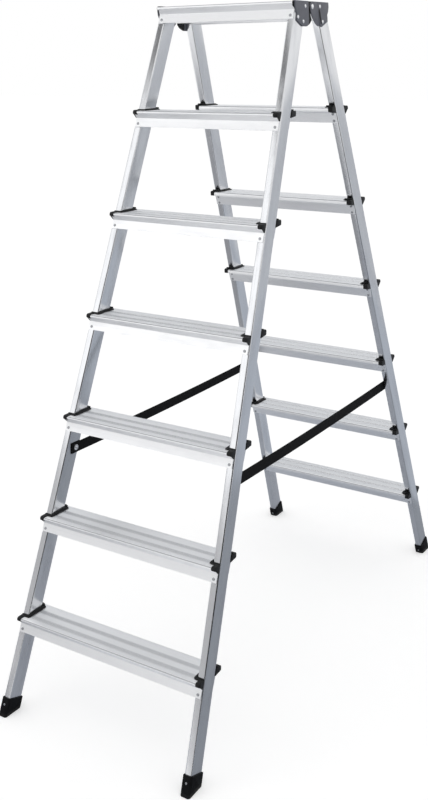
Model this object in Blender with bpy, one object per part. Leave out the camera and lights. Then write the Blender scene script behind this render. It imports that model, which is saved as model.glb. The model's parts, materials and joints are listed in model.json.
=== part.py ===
"""Double-sided aluminium step ladder: two mirrored flights of treads hinged along the top edge."""
import math

import bmesh
import bpy
from mathutils import Matrix, Vector

# Overall form: both flights stand on the floor at height 0 and meet on the plane y = 0
TREAD_COUNT = 7
TREAD_RISE = 0.215
FIRST_TREAD_HEIGHT = 0.217
TOP_LIFT = 0.0035
LEAN = math.radians(20.75)
SPLAY = math.radians(3.23)
TOP_STILE_SPACING = 0.3216
TREAD_GAP = 0.0034

# Stiles: rectangular tube with rounded corners
STILE_DEPTH = 0.040
STILE_WIDTH = 0.017
STILE_WALL = 0.0016
STILE_CORNER = 0.003

# Treads: open channel extrusion with a nose, a back lip and an apron along each edge
NOSE_OVERHANG = 0.019
BACK_OVERHANG = 0.0182
TREAD_WALL = 0.002
NOSE_HEIGHT = 0.0065
SLOPE_DROP = 0.016
APRON_DROP = 0.034
APRON_INSET = 0.0005
BACK_LIP = 0.0095
BACK_SLOPE_DROP = 0.012
BACK_EDGE_RADIUS = 0.0024
GROOVE_PLACES = (0.268, 0.624)
GROOVE_WIDTH = 0.012
GROOVE_DEPTH = 0.0006

# End caps: plastic mouldings that line the tread's notch and close its ends
LINER_WIDTH = 0.005
LINER_DEPTH = 0.001
BACK_LAND = 0.0055
LIP_WIDTH = 0.002
LIP_HEIGHT = 0.0018
KNOB_INSET = 0.005
KNOB_PROUD = 0.002
KNOB_SWELL = 0.0006
RIDGE_HEIGHT = 0.0024
RIDGE_WIDTH = 0.003

# Feet: plastic boots with a flat sole
BOOT_WALL = 0.003
BOOT_HEIGHT = 0.035
BOOT_SOLE = 0.005
BOOT_EDGE = 0.001

# Hinges: a plate bracket on each stile top, joined by a tongue, a leaf and a pin
PIVOT_DROP = 0.009
LEAF_RADIUS = 0.009
PLATE_THICKNESS = 0.006
BRACKET_DROP = 0.0495
BRACKET_SEAM = 0.014
BRACKET_CHAMFER_Z = 0.012
TONGUE_CHAMFER_Y = 0.021
LEAF_CHAMFER_Y = 0.034
SEAM_CORNER = 0.014
FOLD_GAP = 0.002
TONGUE_FOOT = 0.024
LEAF_OFFSET = 0.001
LEAF_THICKNESS = 0.0038
LEAF_TOE = 0.022
RIDGE_OVERLAP = 0.0025
COVER_DEPTH = 0.002
PIN_RADIUS = 0.003
PIN_HEAD_RADIUS = 0.005
PIN_HEAD = 0.002
PIN_FLARE_RADIUS = 0.0042
PIN_FLARE = 0.0014

# Straps: webbing between the flights, held by one rivet at each end
STRAP_TREAD = 3
STRAP_DROP = 0.074
STRAP_WIDTH = 0.025
STRAP_THICKNESS = 0.0016
STRAP_SAG = 0.004
STRAP_TAIL = 0.015
STRAP_STATIONS = 9
RIVET_SETBACK = 0.0085
RIVET_RADIUS = 0.0024
RIVET_HEAD_RADIUS = 0.0055
RIVET_HEAD = 0.001
RIVET_DOME_RADIUS = 0.003
RIVET_DOME = 0.0022
RIVET_FLARE_RADIUS = 0.0038
RIVET_FLARE = 0.0016

# Clearance between pieces that touch, and facets of round shapes
FIT_GAP = 0.0003
CORNER_SEGMENTS = 3
NOSE_SEGMENTS = 5
EDGE_SEGMENTS = 2
ROUND_SEGMENTS = 16
CUT_MARGIN = 0.02

# Sizes that follow from the ones above
TAN_LEAN = math.tan(LEAN)
TAN_SPLAY = math.tan(SPLAY)
HALF_DEPTH = STILE_DEPTH / 2
HALF_WIDTH = STILE_WIDTH / 2
LEVEL_HALF_DEPTH = HALF_DEPTH / math.cos(LEAN)
TREAD_DEPTH = NOSE_OVERHANG + 2 * LEVEL_HALF_DEPTH + BACK_OVERHANG
TOP_HEIGHT = FIRST_TREAD_HEIGHT + (TREAD_COUNT - 1) * TREAD_RISE + TOP_LIFT
PIVOT_HEIGHT = TOP_HEIGHT - PIVOT_DROP
BRACKET_TOP = LEAF_RADIUS - PIVOT_DROP
APRON_OFFSET = (FIT_GAP + TREAD_WALL) / math.cos(LEAN)
LEVEL_GAP = FIT_GAP / math.cos(LEAN)
LINER_BACK = (BACK_OVERHANG - BACK_LAND) * math.cos(LEAN)
STILE_AXIS = Vector((-TAN_SPLAY, TAN_LEAN, 1)).normalized()
FLIGHT_NORMAL = Vector((0, math.cos(LEAN), -math.sin(LEAN)))
STILE_CROSS = FLIGHT_NORMAL.cross(STILE_AXIS).normalized()

# The right-hand stile's axis crosses each tread's top at the local origin of caps and brackets
NOSE_Y = -LEVEL_HALF_DEPTH - NOSE_OVERHANG
BACK_Y = LEVEL_HALF_DEPTH + BACK_OVERHANG
PIVOT_Y = BACK_Y + TREAD_GAP / 2


def clear_scene():
    """Remove every object so that the script starts from nothing."""
    for item in list(bpy.data.objects):
        bpy.data.objects.remove(item, do_unlink=True)


def make_material(name, colour, roughness, metallic):
    """Return a Principled material."""
    material = bpy.data.materials.new(name)
    material.use_nodes = True
    shader = material.node_tree.nodes["Principled BSDF"]
    shader.inputs["Base Color"].default_value = (*colour, 1.0)
    shader.inputs["Roughness"].default_value = roughness
    shader.inputs["Metallic"].default_value = metallic
    material.diffuse_color = (*colour, 1.0)
    return material


def tread_height(index):
    """Height of a tread's top above the floor, counted from 0 at the bottom; the top one sits a little higher."""
    lift = TOP_LIFT if index == TREAD_COUNT - 1 else 0
    return FIRST_TREAD_HEIGHT + index * TREAD_RISE + lift


def stile_point(height):
    """Point on the right-hand stile's axis at a height, in the flight's frame."""
    drop = TOP_HEIGHT - height
    x = TOP_STILE_SPACING / 2 + drop * TAN_SPLAY
    y = -PIVOT_Y - drop * TAN_LEAN
    return Vector((x, y, height - PIVOT_HEIGHT))


def front_face(level):
    """y of the stile's front face at a level above the local origin."""
    return level * TAN_LEAN - LEVEL_HALF_DEPTH


def back_face(level):
    """y of the stile's back face at a level above the local origin."""
    return level * TAN_LEAN + LEVEL_HALF_DEPTH


def side_plane(y, level, across):
    """Point at y and level on a plane parallel to the stile's side faces, across from its axis."""
    x = (across - STILE_CROSS.y * y - STILE_CROSS.z * level) / STILE_CROSS.x
    return Vector((x, y, level))


def section_point(across, depth, level):
    """Point of the stile's section, slid along its axis to a level."""
    point = STILE_CROSS * across + FLIGHT_NORMAL * depth
    return point + STILE_AXIS * ((level - point.z) / STILE_AXIS.z)


def square_point(across, depth, along):
    """Point of the stile's section at a distance along its axis."""
    return STILE_CROSS * across + FLIGHT_NORMAL * depth + STILE_AXIS * along


def arc(centre_y, centre_z, radius, start, end, segments):
    """Points of an arc in the y-z plane, angles in degrees."""
    points = []
    for step in range(segments + 1):
        angle = math.radians(start + (end - start) * step / segments)
        points.append((centre_y + radius * math.cos(angle), centre_z + radius * math.sin(angle)))
    return points


def tangent_angle(point, radius, turn):
    """Angle in degrees where a line from a point touches a circle round (0, 0); turn is 1 or -1."""
    heading = math.degrees(math.atan2(point[1], point[0]))
    return heading + turn * math.degrees(math.acos(radius / math.hypot(*point)))


def rounded_rectangle(half_across, half_depth, radius):
    """Outline of a rectangle with rounded corners, as (across, depth) pairs."""
    points = []
    for quarter, (sign_a, sign_d) in enumerate(((1, 1), (-1, 1), (-1, -1), (1, -1))):
        centre_a = sign_a * (half_across - radius)
        centre_d = sign_d * (half_depth - radius)
        points += arc(centre_a, centre_d, radius, 90 * quarter, 90 * quarter + 90, CORNER_SEGMENTS)
    return points


def offset_path(path, distance):
    """Copy of an open path, moved to its right-hand side by a distance."""
    normals = []
    for (y0, z0), (y1, z1) in zip(path, path[1:]):
        length = math.hypot(y1 - y0, z1 - z0)
        normals.append(Vector(((z1 - z0) / length, (y0 - y1) / length)))
    moved = []
    for index, (y, z) in enumerate(path):
        before = normals[max(index - 1, 0)]
        after = normals[min(index, len(normals) - 1)]
        shift = (before + after) * (distance / (1 + before.dot(after)))
        moved.append((y + shift.x, z + shift.y))
    return moved


def mesh_from(name, builder):
    """Mesh of a finished bmesh, with its faces turned outwards."""
    bmesh.ops.recalc_face_normals(builder, faces=builder.faces)
    mesh = bpy.data.meshes.new(name)
    builder.to_mesh(mesh)
    builder.free()
    return mesh


def loft(name, rings, closed=False):
    """Mesh that joins rings of points in order: capped at both ends, or closed into a loop."""
    builder = bmesh.new()
    loops = [[builder.verts.new(point) for point in ring] for ring in rings]
    pairs = list(zip(loops, loops[1:]))
    if closed:
        pairs.append((loops[-1], loops[0]))
    else:
        builder.faces.new(loops[0])
        builder.faces.new(loops[-1])
    for low, high in pairs:
        for index in range(len(low)):
            following = (index + 1) % len(low)
            builder.faces.new((low[index], low[following], high[following], high[index]))
    return mesh_from(name, builder)


def slab(name, outline, x_low, x_high):
    """Prism of a (y, z) outline between two x values."""
    return loft(name, [[(x, y, z) for y, z in outline] for x in (x_low, x_high)])


def box(name, low, high):
    """Box between two corners."""
    outline = [(low[1], low[2]), (high[1], low[2]), (high[1], high[2]), (low[1], high[2])]
    return slab(name, outline, low[0], high[0])


def turned(name, profile, centre, direction):
    """Solid turned from (along, radius) pairs round a line through a centre."""
    turn = direction.to_track_quat("Z", "Y").to_matrix()
    rings = []
    for along, radius in profile:
        ring = []
        for step in range(ROUND_SEGMENTS):
            angle = math.tau * step / ROUND_SEGMENTS
            ring.append(centre + turn @ Vector((radius * math.cos(angle), radius * math.sin(angle), along)))
        rings.append(ring)
    return loft(name, rings)


def mirrored(mesh):
    """Copy of a right-hand mesh for the left-hand side."""
    copy = mesh.copy()
    copy.transform(Matrix.Scale(-1, 4, (1, 0, 0)))
    copy.flip_normals()
    return copy


def combine(mesh, tools, operation):
    """Mesh joined with, or cut by, other meshes."""
    scene = bpy.context.scene
    target = bpy.data.objects.new("work", mesh)
    scene.collection.objects.link(target)
    helpers = []
    for tool in tools:
        helper = bpy.data.objects.new("tool", tool)
        scene.collection.objects.link(helper)
        helpers.append(helper)
        modifier = target.modifiers.new("shape", "BOOLEAN")
        modifier.operation = operation
        modifier.object = helper
    bpy.context.view_layer.update()
    result = bpy.data.meshes.new_from_object(target.evaluated_get(bpy.context.evaluated_depsgraph_get()))
    for item in (target, *helpers):
        bpy.data.objects.remove(item, do_unlink=True)
    return result


def add_piece(name, mesh, material, parent, location, smooth=False):
    """Place one named sub-part under a flight."""
    piece = bpy.data.objects.new(name, mesh)
    bpy.context.scene.collection.objects.link(piece)
    mesh.name = name
    mesh.materials.clear()
    mesh.materials.append(material)
    if smooth:
        mesh.shade_smooth()
        mesh.set_sharp_from_angle(angle=math.radians(35))
    piece.parent = parent
    piece.location = location
    return piece


def tread_path():
    """Outer path of the tread's section, from the front apron's foot over the top to the back apron's."""
    nose = NOSE_HEIGHT / 2
    edge = max(BACK_EDGE_RADIUS, TREAD_WALL + FIT_GAP)
    path = [
        (front_face(-APRON_DROP) - APRON_OFFSET, -APRON_DROP),
        (front_face(-SLOPE_DROP) - APRON_OFFSET, -SLOPE_DROP),
    ]
    path += arc(NOSE_Y + nose, -nose, nose, 270, 90, NOSE_SEGMENTS)
    path += arc(BACK_Y - edge, -edge, edge, 90, 0, EDGE_SEGMENTS)
    path += arc(BACK_Y - edge, edge - BACK_LIP, edge, 0, -90, EDGE_SEGMENTS)
    path += [
        (back_face(-BACK_SLOPE_DROP) + APRON_OFFSET, -BACK_SLOPE_DROP),
        (back_face(-APRON_DROP) + APRON_OFFSET, -APRON_DROP),
    ]
    return path


def tread_section():
    """Closed section of the tread, with grooves between the bands of its top."""
    path = tread_path()
    inside = offset_path(path, TREAD_WALL)
    top_start = 2 + NOSE_SEGMENTS + 1
    grooves = []
    for place in GROOVE_PLACES:
        centre = NOSE_Y + place * TREAD_DEPTH
        low = centre - GROOVE_WIDTH / 2
        high = centre + GROOVE_WIDTH / 2
        grooves += [(low, 0), (low, -GROOVE_DEPTH), (high, -GROOVE_DEPTH), (high, 0)]
    outside = path[:top_start] + grooves + path[top_start:]
    return outside + inside[::-1]


def notch_tool(centre_x):
    """Cutter for the notch that lets the right-hand stile and its liner through a tread's top."""
    inner = -HALF_WIDTH - LINER_WIDTH - 2 * FIT_GAP
    outer = HALF_WIDTH + CUT_MARGIN
    front = -HALF_DEPTH - LINER_WIDTH - 2 * FIT_GAP
    back = HALF_DEPTH + LINER_BACK + 2 * FIT_GAP
    corners = ((inner, front), (outer, front), (outer, back), (inner, back))
    rings = []
    for level in (-TREAD_WALL - LINER_DEPTH, LIP_HEIGHT):
        rings.append([section_point(a, d, level) + Vector((centre_x, 0, 0)) for a, d in corners])
    return loft("notch", rings)


def end_tools(centre_x):
    """Cutters that shorten the nose and the back lip at a tread's right-hand end."""
    start = centre_x + HALF_WIDTH - KNOB_INSET
    end = start + CUT_MARGIN + KNOB_INSET
    front = NOSE_Y - CUT_MARGIN
    back = BACK_Y + CUT_MARGIN
    nose = box("nose_end", (start, front, -SLOPE_DROP), (end, 0, CUT_MARGIN))
    lip = box("lip_end", (start, -LEVEL_HALF_DEPTH / 2, -BACK_SLOPE_DROP), (end, back, CUT_MARGIN))
    return [nose, lip]


def tread_mesh(index):
    """Tread with its ends shortened and, below the top one, notched round the stiles."""
    centre_x = stile_point(tread_height(index)).x
    half_length = centre_x + HALF_WIDTH - APRON_INSET
    body = slab("tread", tread_section(), -half_length, half_length)
    tools = end_tools(centre_x)
    if index < TREAD_COUNT - 1:
        tools.append(notch_tool(centre_x))
    tools += [mirrored(tool) for tool in tools]
    return combine(body, tools, "DIFFERENCE")


def nose_closure(top):
    """Outline of the plug that closes a nose's end, up to a level above the tread."""
    foot = FIT_GAP - SLOPE_DROP
    return [
        (front_face(top) - 2 * LEVEL_GAP, top),
        (NOSE_Y + NOSE_HEIGHT / 3, top),
        (NOSE_Y - KNOB_SWELL, top - NOSE_HEIGHT / 3 - LIP_HEIGHT),
        (NOSE_Y - KNOB_SWELL, KNOB_SWELL * 2 - NOSE_HEIGHT),
        (NOSE_Y + NOSE_HEIGHT / 3, -NOSE_HEIGHT - KNOB_SWELL),
        (front_face(foot) - APRON_OFFSET, foot),
        (front_face(foot) - 2 * LEVEL_GAP, foot),
    ]


def lip_closure(top):
    """Outline of the plug that closes a back lip's end, up to a level above the tread."""
    foot = FIT_GAP - BACK_SLOPE_DROP
    return [
        (back_face(top) + 2 * LEVEL_GAP, top),
        (BACK_Y - BACK_EDGE_RADIUS / 2, top),
        (BACK_Y + KNOB_SWELL, -BACK_EDGE_RADIUS / 2),
        (BACK_Y - KNOB_SWELL, BACK_EDGE_RADIUS / 2 - BACK_LIP),
        (BACK_Y - BACK_EDGE_RADIUS, -BACK_LIP),
        (back_face(foot) + APRON_OFFSET, foot),
        (back_face(foot) + 2 * LEVEL_GAP, foot),
    ]


def liner_ring(outer, gap, front, inner, back, level):
    """C-shaped outline round the stile: its open end, gap to the stile, and reach on three sides."""
    points = (
        (outer, HALF_DEPTH + gap),
        (outer, HALF_DEPTH + back),
        (-HALF_WIDTH - inner, HALF_DEPTH + back),
        (-HALF_WIDTH - inner, -HALF_DEPTH - front),
        (outer, -HALF_DEPTH - front),
        (outer, -HALF_DEPTH - gap),
        (-HALF_WIDTH - gap, -HALF_DEPTH - gap),
        (-HALF_WIDTH - gap, HALF_DEPTH + gap),
    )
    return [section_point(across, depth, level) for across, depth in points]


def cap_mesh():
    """Right-hand end cap: liner, raised lip, back ridge and the plugs of nose and back lip."""
    reach = FIT_GAP + LINER_WIDTH
    back = FIT_GAP + LINER_BACK
    body_gap = FIT_GAP * 1.5
    body_levels = (-TREAD_WALL - LINER_DEPTH + FIT_GAP, LIP_HEIGHT / 2)
    body_end = HALF_WIDTH - FIT_GAP
    body = loft("cap", [liner_ring(body_end, body_gap, reach, reach, back, z) for z in body_levels])
    wide = reach + LIP_WIDTH
    lip_back = back + LIP_WIDTH
    lip_levels = (FIT_GAP, LIP_HEIGHT)
    lip = loft("lip", [liner_ring(HALF_WIDTH, FIT_GAP, wide, wide, lip_back, z) for z in lip_levels])
    x_low = HALF_WIDTH - KNOB_INSET + FIT_GAP
    x_high = HALF_WIDTH + KNOB_PROUD
    nose = slab("nose_plug", nose_closure(LIP_HEIGHT - FIT_GAP), x_low, x_high)
    tail = slab("lip_plug", lip_closure(LIP_HEIGHT - FIT_GAP), x_low, x_high)
    ridge_end = section_point(0, HALF_DEPTH + lip_back, LIP_HEIGHT).y - FIT_GAP
    ridge_low = (-HALF_WIDTH - wide + FIT_GAP, ridge_end - RIDGE_WIDTH, LIP_HEIGHT / 2)
    ridge_high = (x_high - FIT_GAP, ridge_end, LIP_HEIGHT + RIDGE_HEIGHT)
    ridge = box("ridge", ridge_low, ridge_high)
    return combine(body, [lip, nose, tail, ridge], "UNION")


def stile_mesh():
    """Right-hand stile from its foot to just under the top tread, with the strap rivet's hole."""
    outer = rounded_rectangle(HALF_WIDTH, HALF_DEPTH, STILE_CORNER)
    inner = rounded_rectangle(HALF_WIDTH - STILE_WALL, HALF_DEPTH - STILE_WALL, STILE_CORNER - STILE_WALL)
    foot = cavity_floor() + FIT_GAP
    head = TOP_HEIGHT - max(TREAD_WALL, COVER_DEPTH) - FIT_GAP
    rings = [
        [square_point(a, d, foot) for a, d in outer],
        [section_point(a, d, head) for a, d in outer],
        [section_point(a, d, head) for a, d in inner],
        [square_point(a, d, foot) for a, d in inner],
    ]
    tube = loft("stile", rings, closed=True)
    centre = rivet_point() - stile_point(0)
    hole = [(-STILE_WIDTH / 2, RIVET_RADIUS + FIT_GAP), (STILE_WIDTH / 2, RIVET_RADIUS + FIT_GAP)]
    return combine(tube, [turned("hole", hole, centre, -STILE_CROSS)], "DIFFERENCE")


def cavity_floor():
    """Distance along the stile's axis from the floor to the bottom of its boot's socket."""
    return (BOOT_SOLE + HALF_DEPTH * math.sin(LEAN) + HALF_WIDTH * math.sin(SPLAY)) / STILE_AXIS.z


def boot_mesh():
    """Right-hand boot: a socket square to the stile over a level sole."""
    socket = rounded_rectangle(HALF_WIDTH + FIT_GAP, HALF_DEPTH + FIT_GAP, STILE_CORNER)
    grow = FIT_GAP + BOOT_WALL
    shell = rounded_rectangle(HALF_WIDTH + grow, HALF_DEPTH + grow, STILE_CORNER + BOOT_WALL)
    rim = rounded_rectangle(
        HALF_WIDTH + grow - BOOT_EDGE, HALF_DEPTH + grow - BOOT_EDGE, STILE_CORNER + BOOT_WALL - BOOT_EDGE
    )
    rings = [
        [section_point(a, d, 0) for a, d in rim],
        [section_point(a, d, BOOT_EDGE) for a, d in shell],
        [square_point(a, d, BOOT_HEIGHT - BOOT_EDGE) for a, d in shell],
        [square_point(a, d, BOOT_HEIGHT) for a, d in rim],
        [square_point(a, d, BOOT_HEIGHT) for a, d in socket],
        [square_point(a, d, cavity_floor()) for a, d in socket],
    ]
    return loft("boot", rings)


def pivot_outline(points):
    """Outline given round the pivot, moved to the bracket's own origin."""
    return [(PIVOT_Y + y, z - PIVOT_DROP) for y, z in points]


def plate_mesh(chamfer, back_edge):
    """Bracket plate that lies on the stile's outer face, with a lower front chamfer and a back edge."""
    outline = nose_closure(BRACKET_TOP)[1:6]
    front = outline[-1][0]
    outline += [(front, BRACKET_CHAMFER_Z - BRACKET_DROP), (front + chamfer, -BRACKET_DROP)]
    outline += back_edge
    rings = []
    for across in (HALF_WIDTH + FIT_GAP, HALF_WIDTH + PLATE_THICKNESS):
        rings.append([side_plane(y, z, across) for y, z in outline])
    return loft("bracket", rings)


def bracket_covers():
    """Plug of the nose's end and the bar that covers the tread's end and the stile's top."""
    x_low = HALF_WIDTH - KNOB_INSET + FIT_GAP
    x_high = HALF_WIDTH + PLATE_THICKNESS - FIT_GAP
    nose = slab("nose_plug", nose_closure(BRACKET_TOP - FIT_GAP), x_low, x_high)
    bar_low = (x_low + FIT_GAP / 2, front_face(0) - TREAD_WALL, -COVER_DEPTH)
    bar_high = (x_high - FIT_GAP / 2, PIVOT_Y - BRACKET_SEAM - FIT_GAP, BRACKET_TOP - FIT_GAP / 2)
    return [nose, box("cover", bar_low, bar_high)]


def pin_hole(radius, x_low, x_high):
    """Cutter for the pin's hole or for a counterbore."""
    centre = Vector((0, PIVOT_Y, -PIVOT_DROP))
    return turned("hole", [(x_low, radius), (x_high, radius)], centre, Vector((1, 0, 0)))


def tongue_bracket_mesh():
    """Bracket of a flight's own right-hand stile: its tongue lies on the inner side of the hinge."""
    seam = -BRACKET_SEAM
    foot = PIVOT_DROP - BRACKET_DROP
    corner = arc(seam - SEAM_CORNER, foot + SEAM_CORNER, SEAM_CORNER, 270, 360, CORNER_SEGMENTS)
    plate = plate_mesh(TONGUE_CHAMFER_Y, pivot_outline(corner + [(seam, LEAF_RADIUS)]))
    root_y = back_face(BRACKET_TOP) + LEVEL_GAP - PIVOT_Y
    toe = (seam, -TONGUE_FOOT)
    disc = arc(0, 0, LEAF_RADIUS, tangent_angle(toe, LEAF_RADIUS, 1), 90, ROUND_SEGMENTS // 2)
    tongue_outline = [(root_y, LEAF_RADIUS), (root_y, -TONGUE_FOOT), toe] + disc
    x_low = HALF_WIDTH - KNOB_INSET + FIT_GAP
    x_high = HALF_WIDTH + LEAF_OFFSET - FIT_GAP
    tongue = slab("tongue", pivot_outline(tongue_outline), x_low, x_high)
    root_low = (x_low + FIT_GAP, PIVOT_Y + root_y + FIT_GAP, -PIVOT_DROP - TONGUE_FOOT + FIT_GAP)
    root_high = (HALF_WIDTH + PLATE_THICKNESS - FIT_GAP, PIVOT_Y + seam - FIT_GAP, BRACKET_TOP - FIT_GAP)
    parts = bracket_covers() + [tongue, box("root", root_low, root_high)]
    whole = combine(plate, parts, "UNION")
    bore = pin_hole(PIN_RADIUS + FIT_GAP, x_low - CUT_MARGIN, x_high + CUT_MARGIN)
    flare_end = x_low + PIN_FLARE + 2 * FIT_GAP
    recess = pin_hole(PIN_FLARE_RADIUS + FIT_GAP, x_low - CUT_MARGIN, flare_end)
    return combine(whole, [bore, recess], "DIFFERENCE")


def folded_seam(z):
    """Point of the leaf's free edge that lies just behind the other bracket's seam when folded."""
    fold = 2 * LEAN
    return (z * math.sin(fold) + BRACKET_SEAM - FOLD_GAP) / math.cos(fold), z


def leaf_bracket_mesh():
    """Bracket of a flight's own left-hand stile, drawn right-handed: its leaf lies on the hinge's outer side."""
    foot = -BRACKET_DROP
    ridge = [(back_face(z) + RIDGE_OVERLAP, z) for z in (foot, BRACKET_TOP)]
    plate = plate_mesh(LEAF_CHAMFER_Y, ridge)
    toe = folded_seam(-LEAF_TOE)
    disc = arc(0, 0, LEAF_RADIUS, tangent_angle(toe, LEAF_RADIUS, 1), 90, ROUND_SEGMENTS // 2)
    low = foot + FIT_GAP
    root = [(back_face(z) + LEVEL_GAP - PIVOT_Y, z + PIVOT_DROP) for z in (BRACKET_TOP - FIT_GAP, low)]
    heel = folded_seam(low + PIVOT_DROP)
    outline = pivot_outline(root + [heel, toe] + disc[:-1] + [(0, LEAF_RADIUS - FIT_GAP)])
    x_low = HALF_WIDTH + LEAF_OFFSET
    leaf = slab("leaf", outline, x_low, x_low + LEAF_THICKNESS)
    whole = combine(plate, bracket_covers() + [leaf], "UNION")
    bore = pin_hole(PIN_RADIUS + FIT_GAP, x_low - CUT_MARGIN, x_low + CUT_MARGIN)
    return combine(whole, [bore], "DIFFERENCE")


def pin_mesh():
    """Hinge pin: a headed pin, flared in the tongue's recess."""
    flare_start = HALF_WIDTH - KNOB_INSET + 2 * FIT_GAP
    flare_end = flare_start + PIN_FLARE
    head_start = HALF_WIDTH + LEAF_OFFSET + LEAF_THICKNESS + FIT_GAP
    head_end = head_start + PIN_HEAD
    profile = [
        (flare_start, PIN_FLARE_RADIUS),
        (flare_end, PIN_FLARE_RADIUS),
        (flare_end, PIN_RADIUS),
        (head_start, PIN_RADIUS),
        (head_start, PIN_HEAD_RADIUS),
        (head_start + PIN_HEAD / 2, PIN_HEAD_RADIUS),
        (head_end, PIN_HEAD_RADIUS - PIN_HEAD / 2),
    ]
    return turned("pin", profile, Vector((0, PIVOT_Y, -PIVOT_DROP)), Vector((1, 0, 0)))


def rivet_point():
    """Centre of the right-hand strap rivet on the stile's inner face, in the flight's frame."""
    along = (tread_height(STRAP_TREAD - 1) - STRAP_DROP) / STILE_AXIS.z
    return stile_point(0) + square_point(-HALF_WIDTH, RIVET_SETBACK, along)


def strap_face_x():
    """x of the right-hand strap's outer face, clear of the stile's inner face all round the rivet."""
    lean_in = STRAP_TAIL * abs(STILE_CROSS.y / STILE_CROSS.x)
    return rivet_point().x - FIT_GAP - lean_in


def strap_rivet_mesh():
    """Strap rivet: a domed washer head inside, a flare in the stile's hollow."""
    seat = rivet_point().x - strap_face_x() + STRAP_THICKNESS + FIT_GAP
    flare = -STILE_WALL - FIT_GAP
    profile = [
        (flare - RIVET_FLARE, RIVET_FLARE_RADIUS),
        (flare, RIVET_FLARE_RADIUS),
        (flare, RIVET_RADIUS),
        (seat, RIVET_RADIUS),
        (seat, RIVET_HEAD_RADIUS),
        (seat + RIVET_HEAD, RIVET_HEAD_RADIUS),
        (seat + RIVET_HEAD, RIVET_DOME_RADIUS),
        (seat + RIVET_DOME, RIVET_DOME_RADIUS / 2),
    ]
    return turned("strap_rivet", profile, Vector((0, 0, 0)), -STILE_CROSS)


def strap_mesh():
    """Right-hand strap from flight to flight, sagging a little between its rivets."""
    reach = -rivet_point().y
    half_length = reach + STRAP_TAIL
    middle = rivet_point().z
    rings = []
    for station in range(STRAP_STATIONS):
        share = 2 * station / (STRAP_STATIONS - 1) - 1
        y = share * half_length
        sag = STRAP_SAG * max(0.0, 1 - (y / reach) ** 2)
        ring = []
        for inward, up in ((0, -1), (1, -1), (1, 1), (0, 1)):
            rise = up * STRAP_WIDTH / 2
            x = strap_face_x() - inward * STRAP_THICKNESS - rise * TAN_SPLAY
            ring.append((x, y, middle + rise - sag))
        rings.append(ring)
    body = loft("strap", rings)
    hole = [(-CUT_MARGIN, RIVET_RADIUS + FIT_GAP), (CUT_MARGIN, RIVET_RADIUS + FIT_GAP)]
    centres = [Vector((strap_face_x(), sign * reach, middle)) for sign in (-1, 1)]
    tools = [turned("hole", hole, centre, Vector((1, 0, 0))) for centre in centres]
    return combine(body, tools, "DIFFERENCE")


def on_side(point, side):
    """A right-hand point, or its mirror image for the left-hand side."""
    return Vector((side * point.x, point.y, point.z))


def side_mesh(mesh, side):
    """A right-hand mesh, or its mirror image for the left-hand side."""
    return mesh if side > 0 else mirrored(mesh)


def build_flight(flight, pivot, hands, materials):
    """Build one flight under its pivot; hands names the flight's own right and left."""
    for index in range(TREAD_COUNT):
        tread_at = stile_point(tread_height(index)) * Vector((0, 1, 1))
        name = f"{flight}_tread_{index + 1}"
        add_piece(name, tread_mesh(index), materials["tread"], pivot, tread_at, True)
    for side, hand in hands.items():
        label = f"{flight}_{hand}"
        bracket = tongue_bracket_mesh() if side > 0 else leaf_bracket_mesh()
        foot = on_side(stile_point(0), side)
        head = on_side(stile_point(TOP_HEIGHT), side)
        add_piece(f"{label}_stile", side_mesh(stile_mesh(), side), materials["stile"], pivot, foot, True)
        add_piece(f"{label}_foot", side_mesh(boot_mesh(), side), materials["plastic"], pivot, foot, True)
        add_piece(f"{label}_bracket", side_mesh(bracket, side), materials["bracket"], pivot, head, True)
        rivet_at = on_side(rivet_point(), side)
        rivet = side_mesh(strap_rivet_mesh(), side)
        add_piece(f"{label}_strap_rivet", rivet, materials["steel"], pivot, rivet_at, True)
        cap = side_mesh(cap_mesh(), side)
        for index in range(TREAD_COUNT - 1):
            cap_at = on_side(stile_point(tread_height(index)), side)
            add_piece(f"{label}_cap_{index + 1}", cap.copy(), materials["plastic"], pivot, cap_at, True)


def add_pivot(name, turn):
    """Empty on the hinge axis that carries one flight."""
    pivot = bpy.data.objects.new(name, None)
    bpy.context.scene.collection.objects.link(pivot)
    pivot.location = (0, 0, PIVOT_HEIGHT)
    pivot.rotation_euler = (0, 0, turn)
    return pivot


def main():
    """Build both flights, the hinge pins and the straps."""
    clear_scene()
    materials = {
        "stile": make_material("drawn_aluminium", (0.74, 0.75, 0.77), 0.28, 1.0),
        "tread": make_material("ribbed_aluminium", (0.80, 0.81, 0.82), 0.34, 1.0),
        "plastic": make_material("black_plastic", (0.018, 0.019, 0.021), 0.5, 0.0),
        "bracket": make_material("grey_plastic", (0.11, 0.11, 0.125), 0.48, 0.0),
        "steel": make_material("zinc_steel", (0.66, 0.67, 0.68), 0.32, 1.0),
        "webbing": make_material("black_webbing", (0.014, 0.015, 0.017), 0.8, 0.0),
    }
    front = add_pivot("front_flight_pivot", 0)
    rear = add_pivot("rear_flight_pivot", math.pi)
    build_flight("front", front, {1: "right", -1: "left"}, materials)
    build_flight("rear", rear, {1: "left", -1: "right"}, materials)
    for side, hand in ((1, "right"), (-1, "left")):
        head = on_side(stile_point(TOP_HEIGHT), side)
        add_piece(f"hinge_pin_{hand}", side_mesh(pin_mesh(), side), materials["steel"], front, head, True)
        strap = side_mesh(strap_mesh(), side)
        add_piece(f"strap_{hand}", strap, materials["webbing"], front, Vector((0, 0, 0)))


main()
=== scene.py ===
"""Looks of a double-sided aluminium step ladder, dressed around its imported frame.

Every sub-assembly is a class that holds its sizes, builds its meshes and dresses them.
A flight is modelled as the front one stands, seen from its right-hand stile, and then
turned and mirrored to its place.
"""
import json
import logging
import math
from collections.abc import Callable, Iterable, Iterator, Sequence
from dataclasses import dataclass, field
from enum import Enum
from functools import cached_property

import bmesh
import bpy
from mathutils import Matrix, Vector

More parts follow.
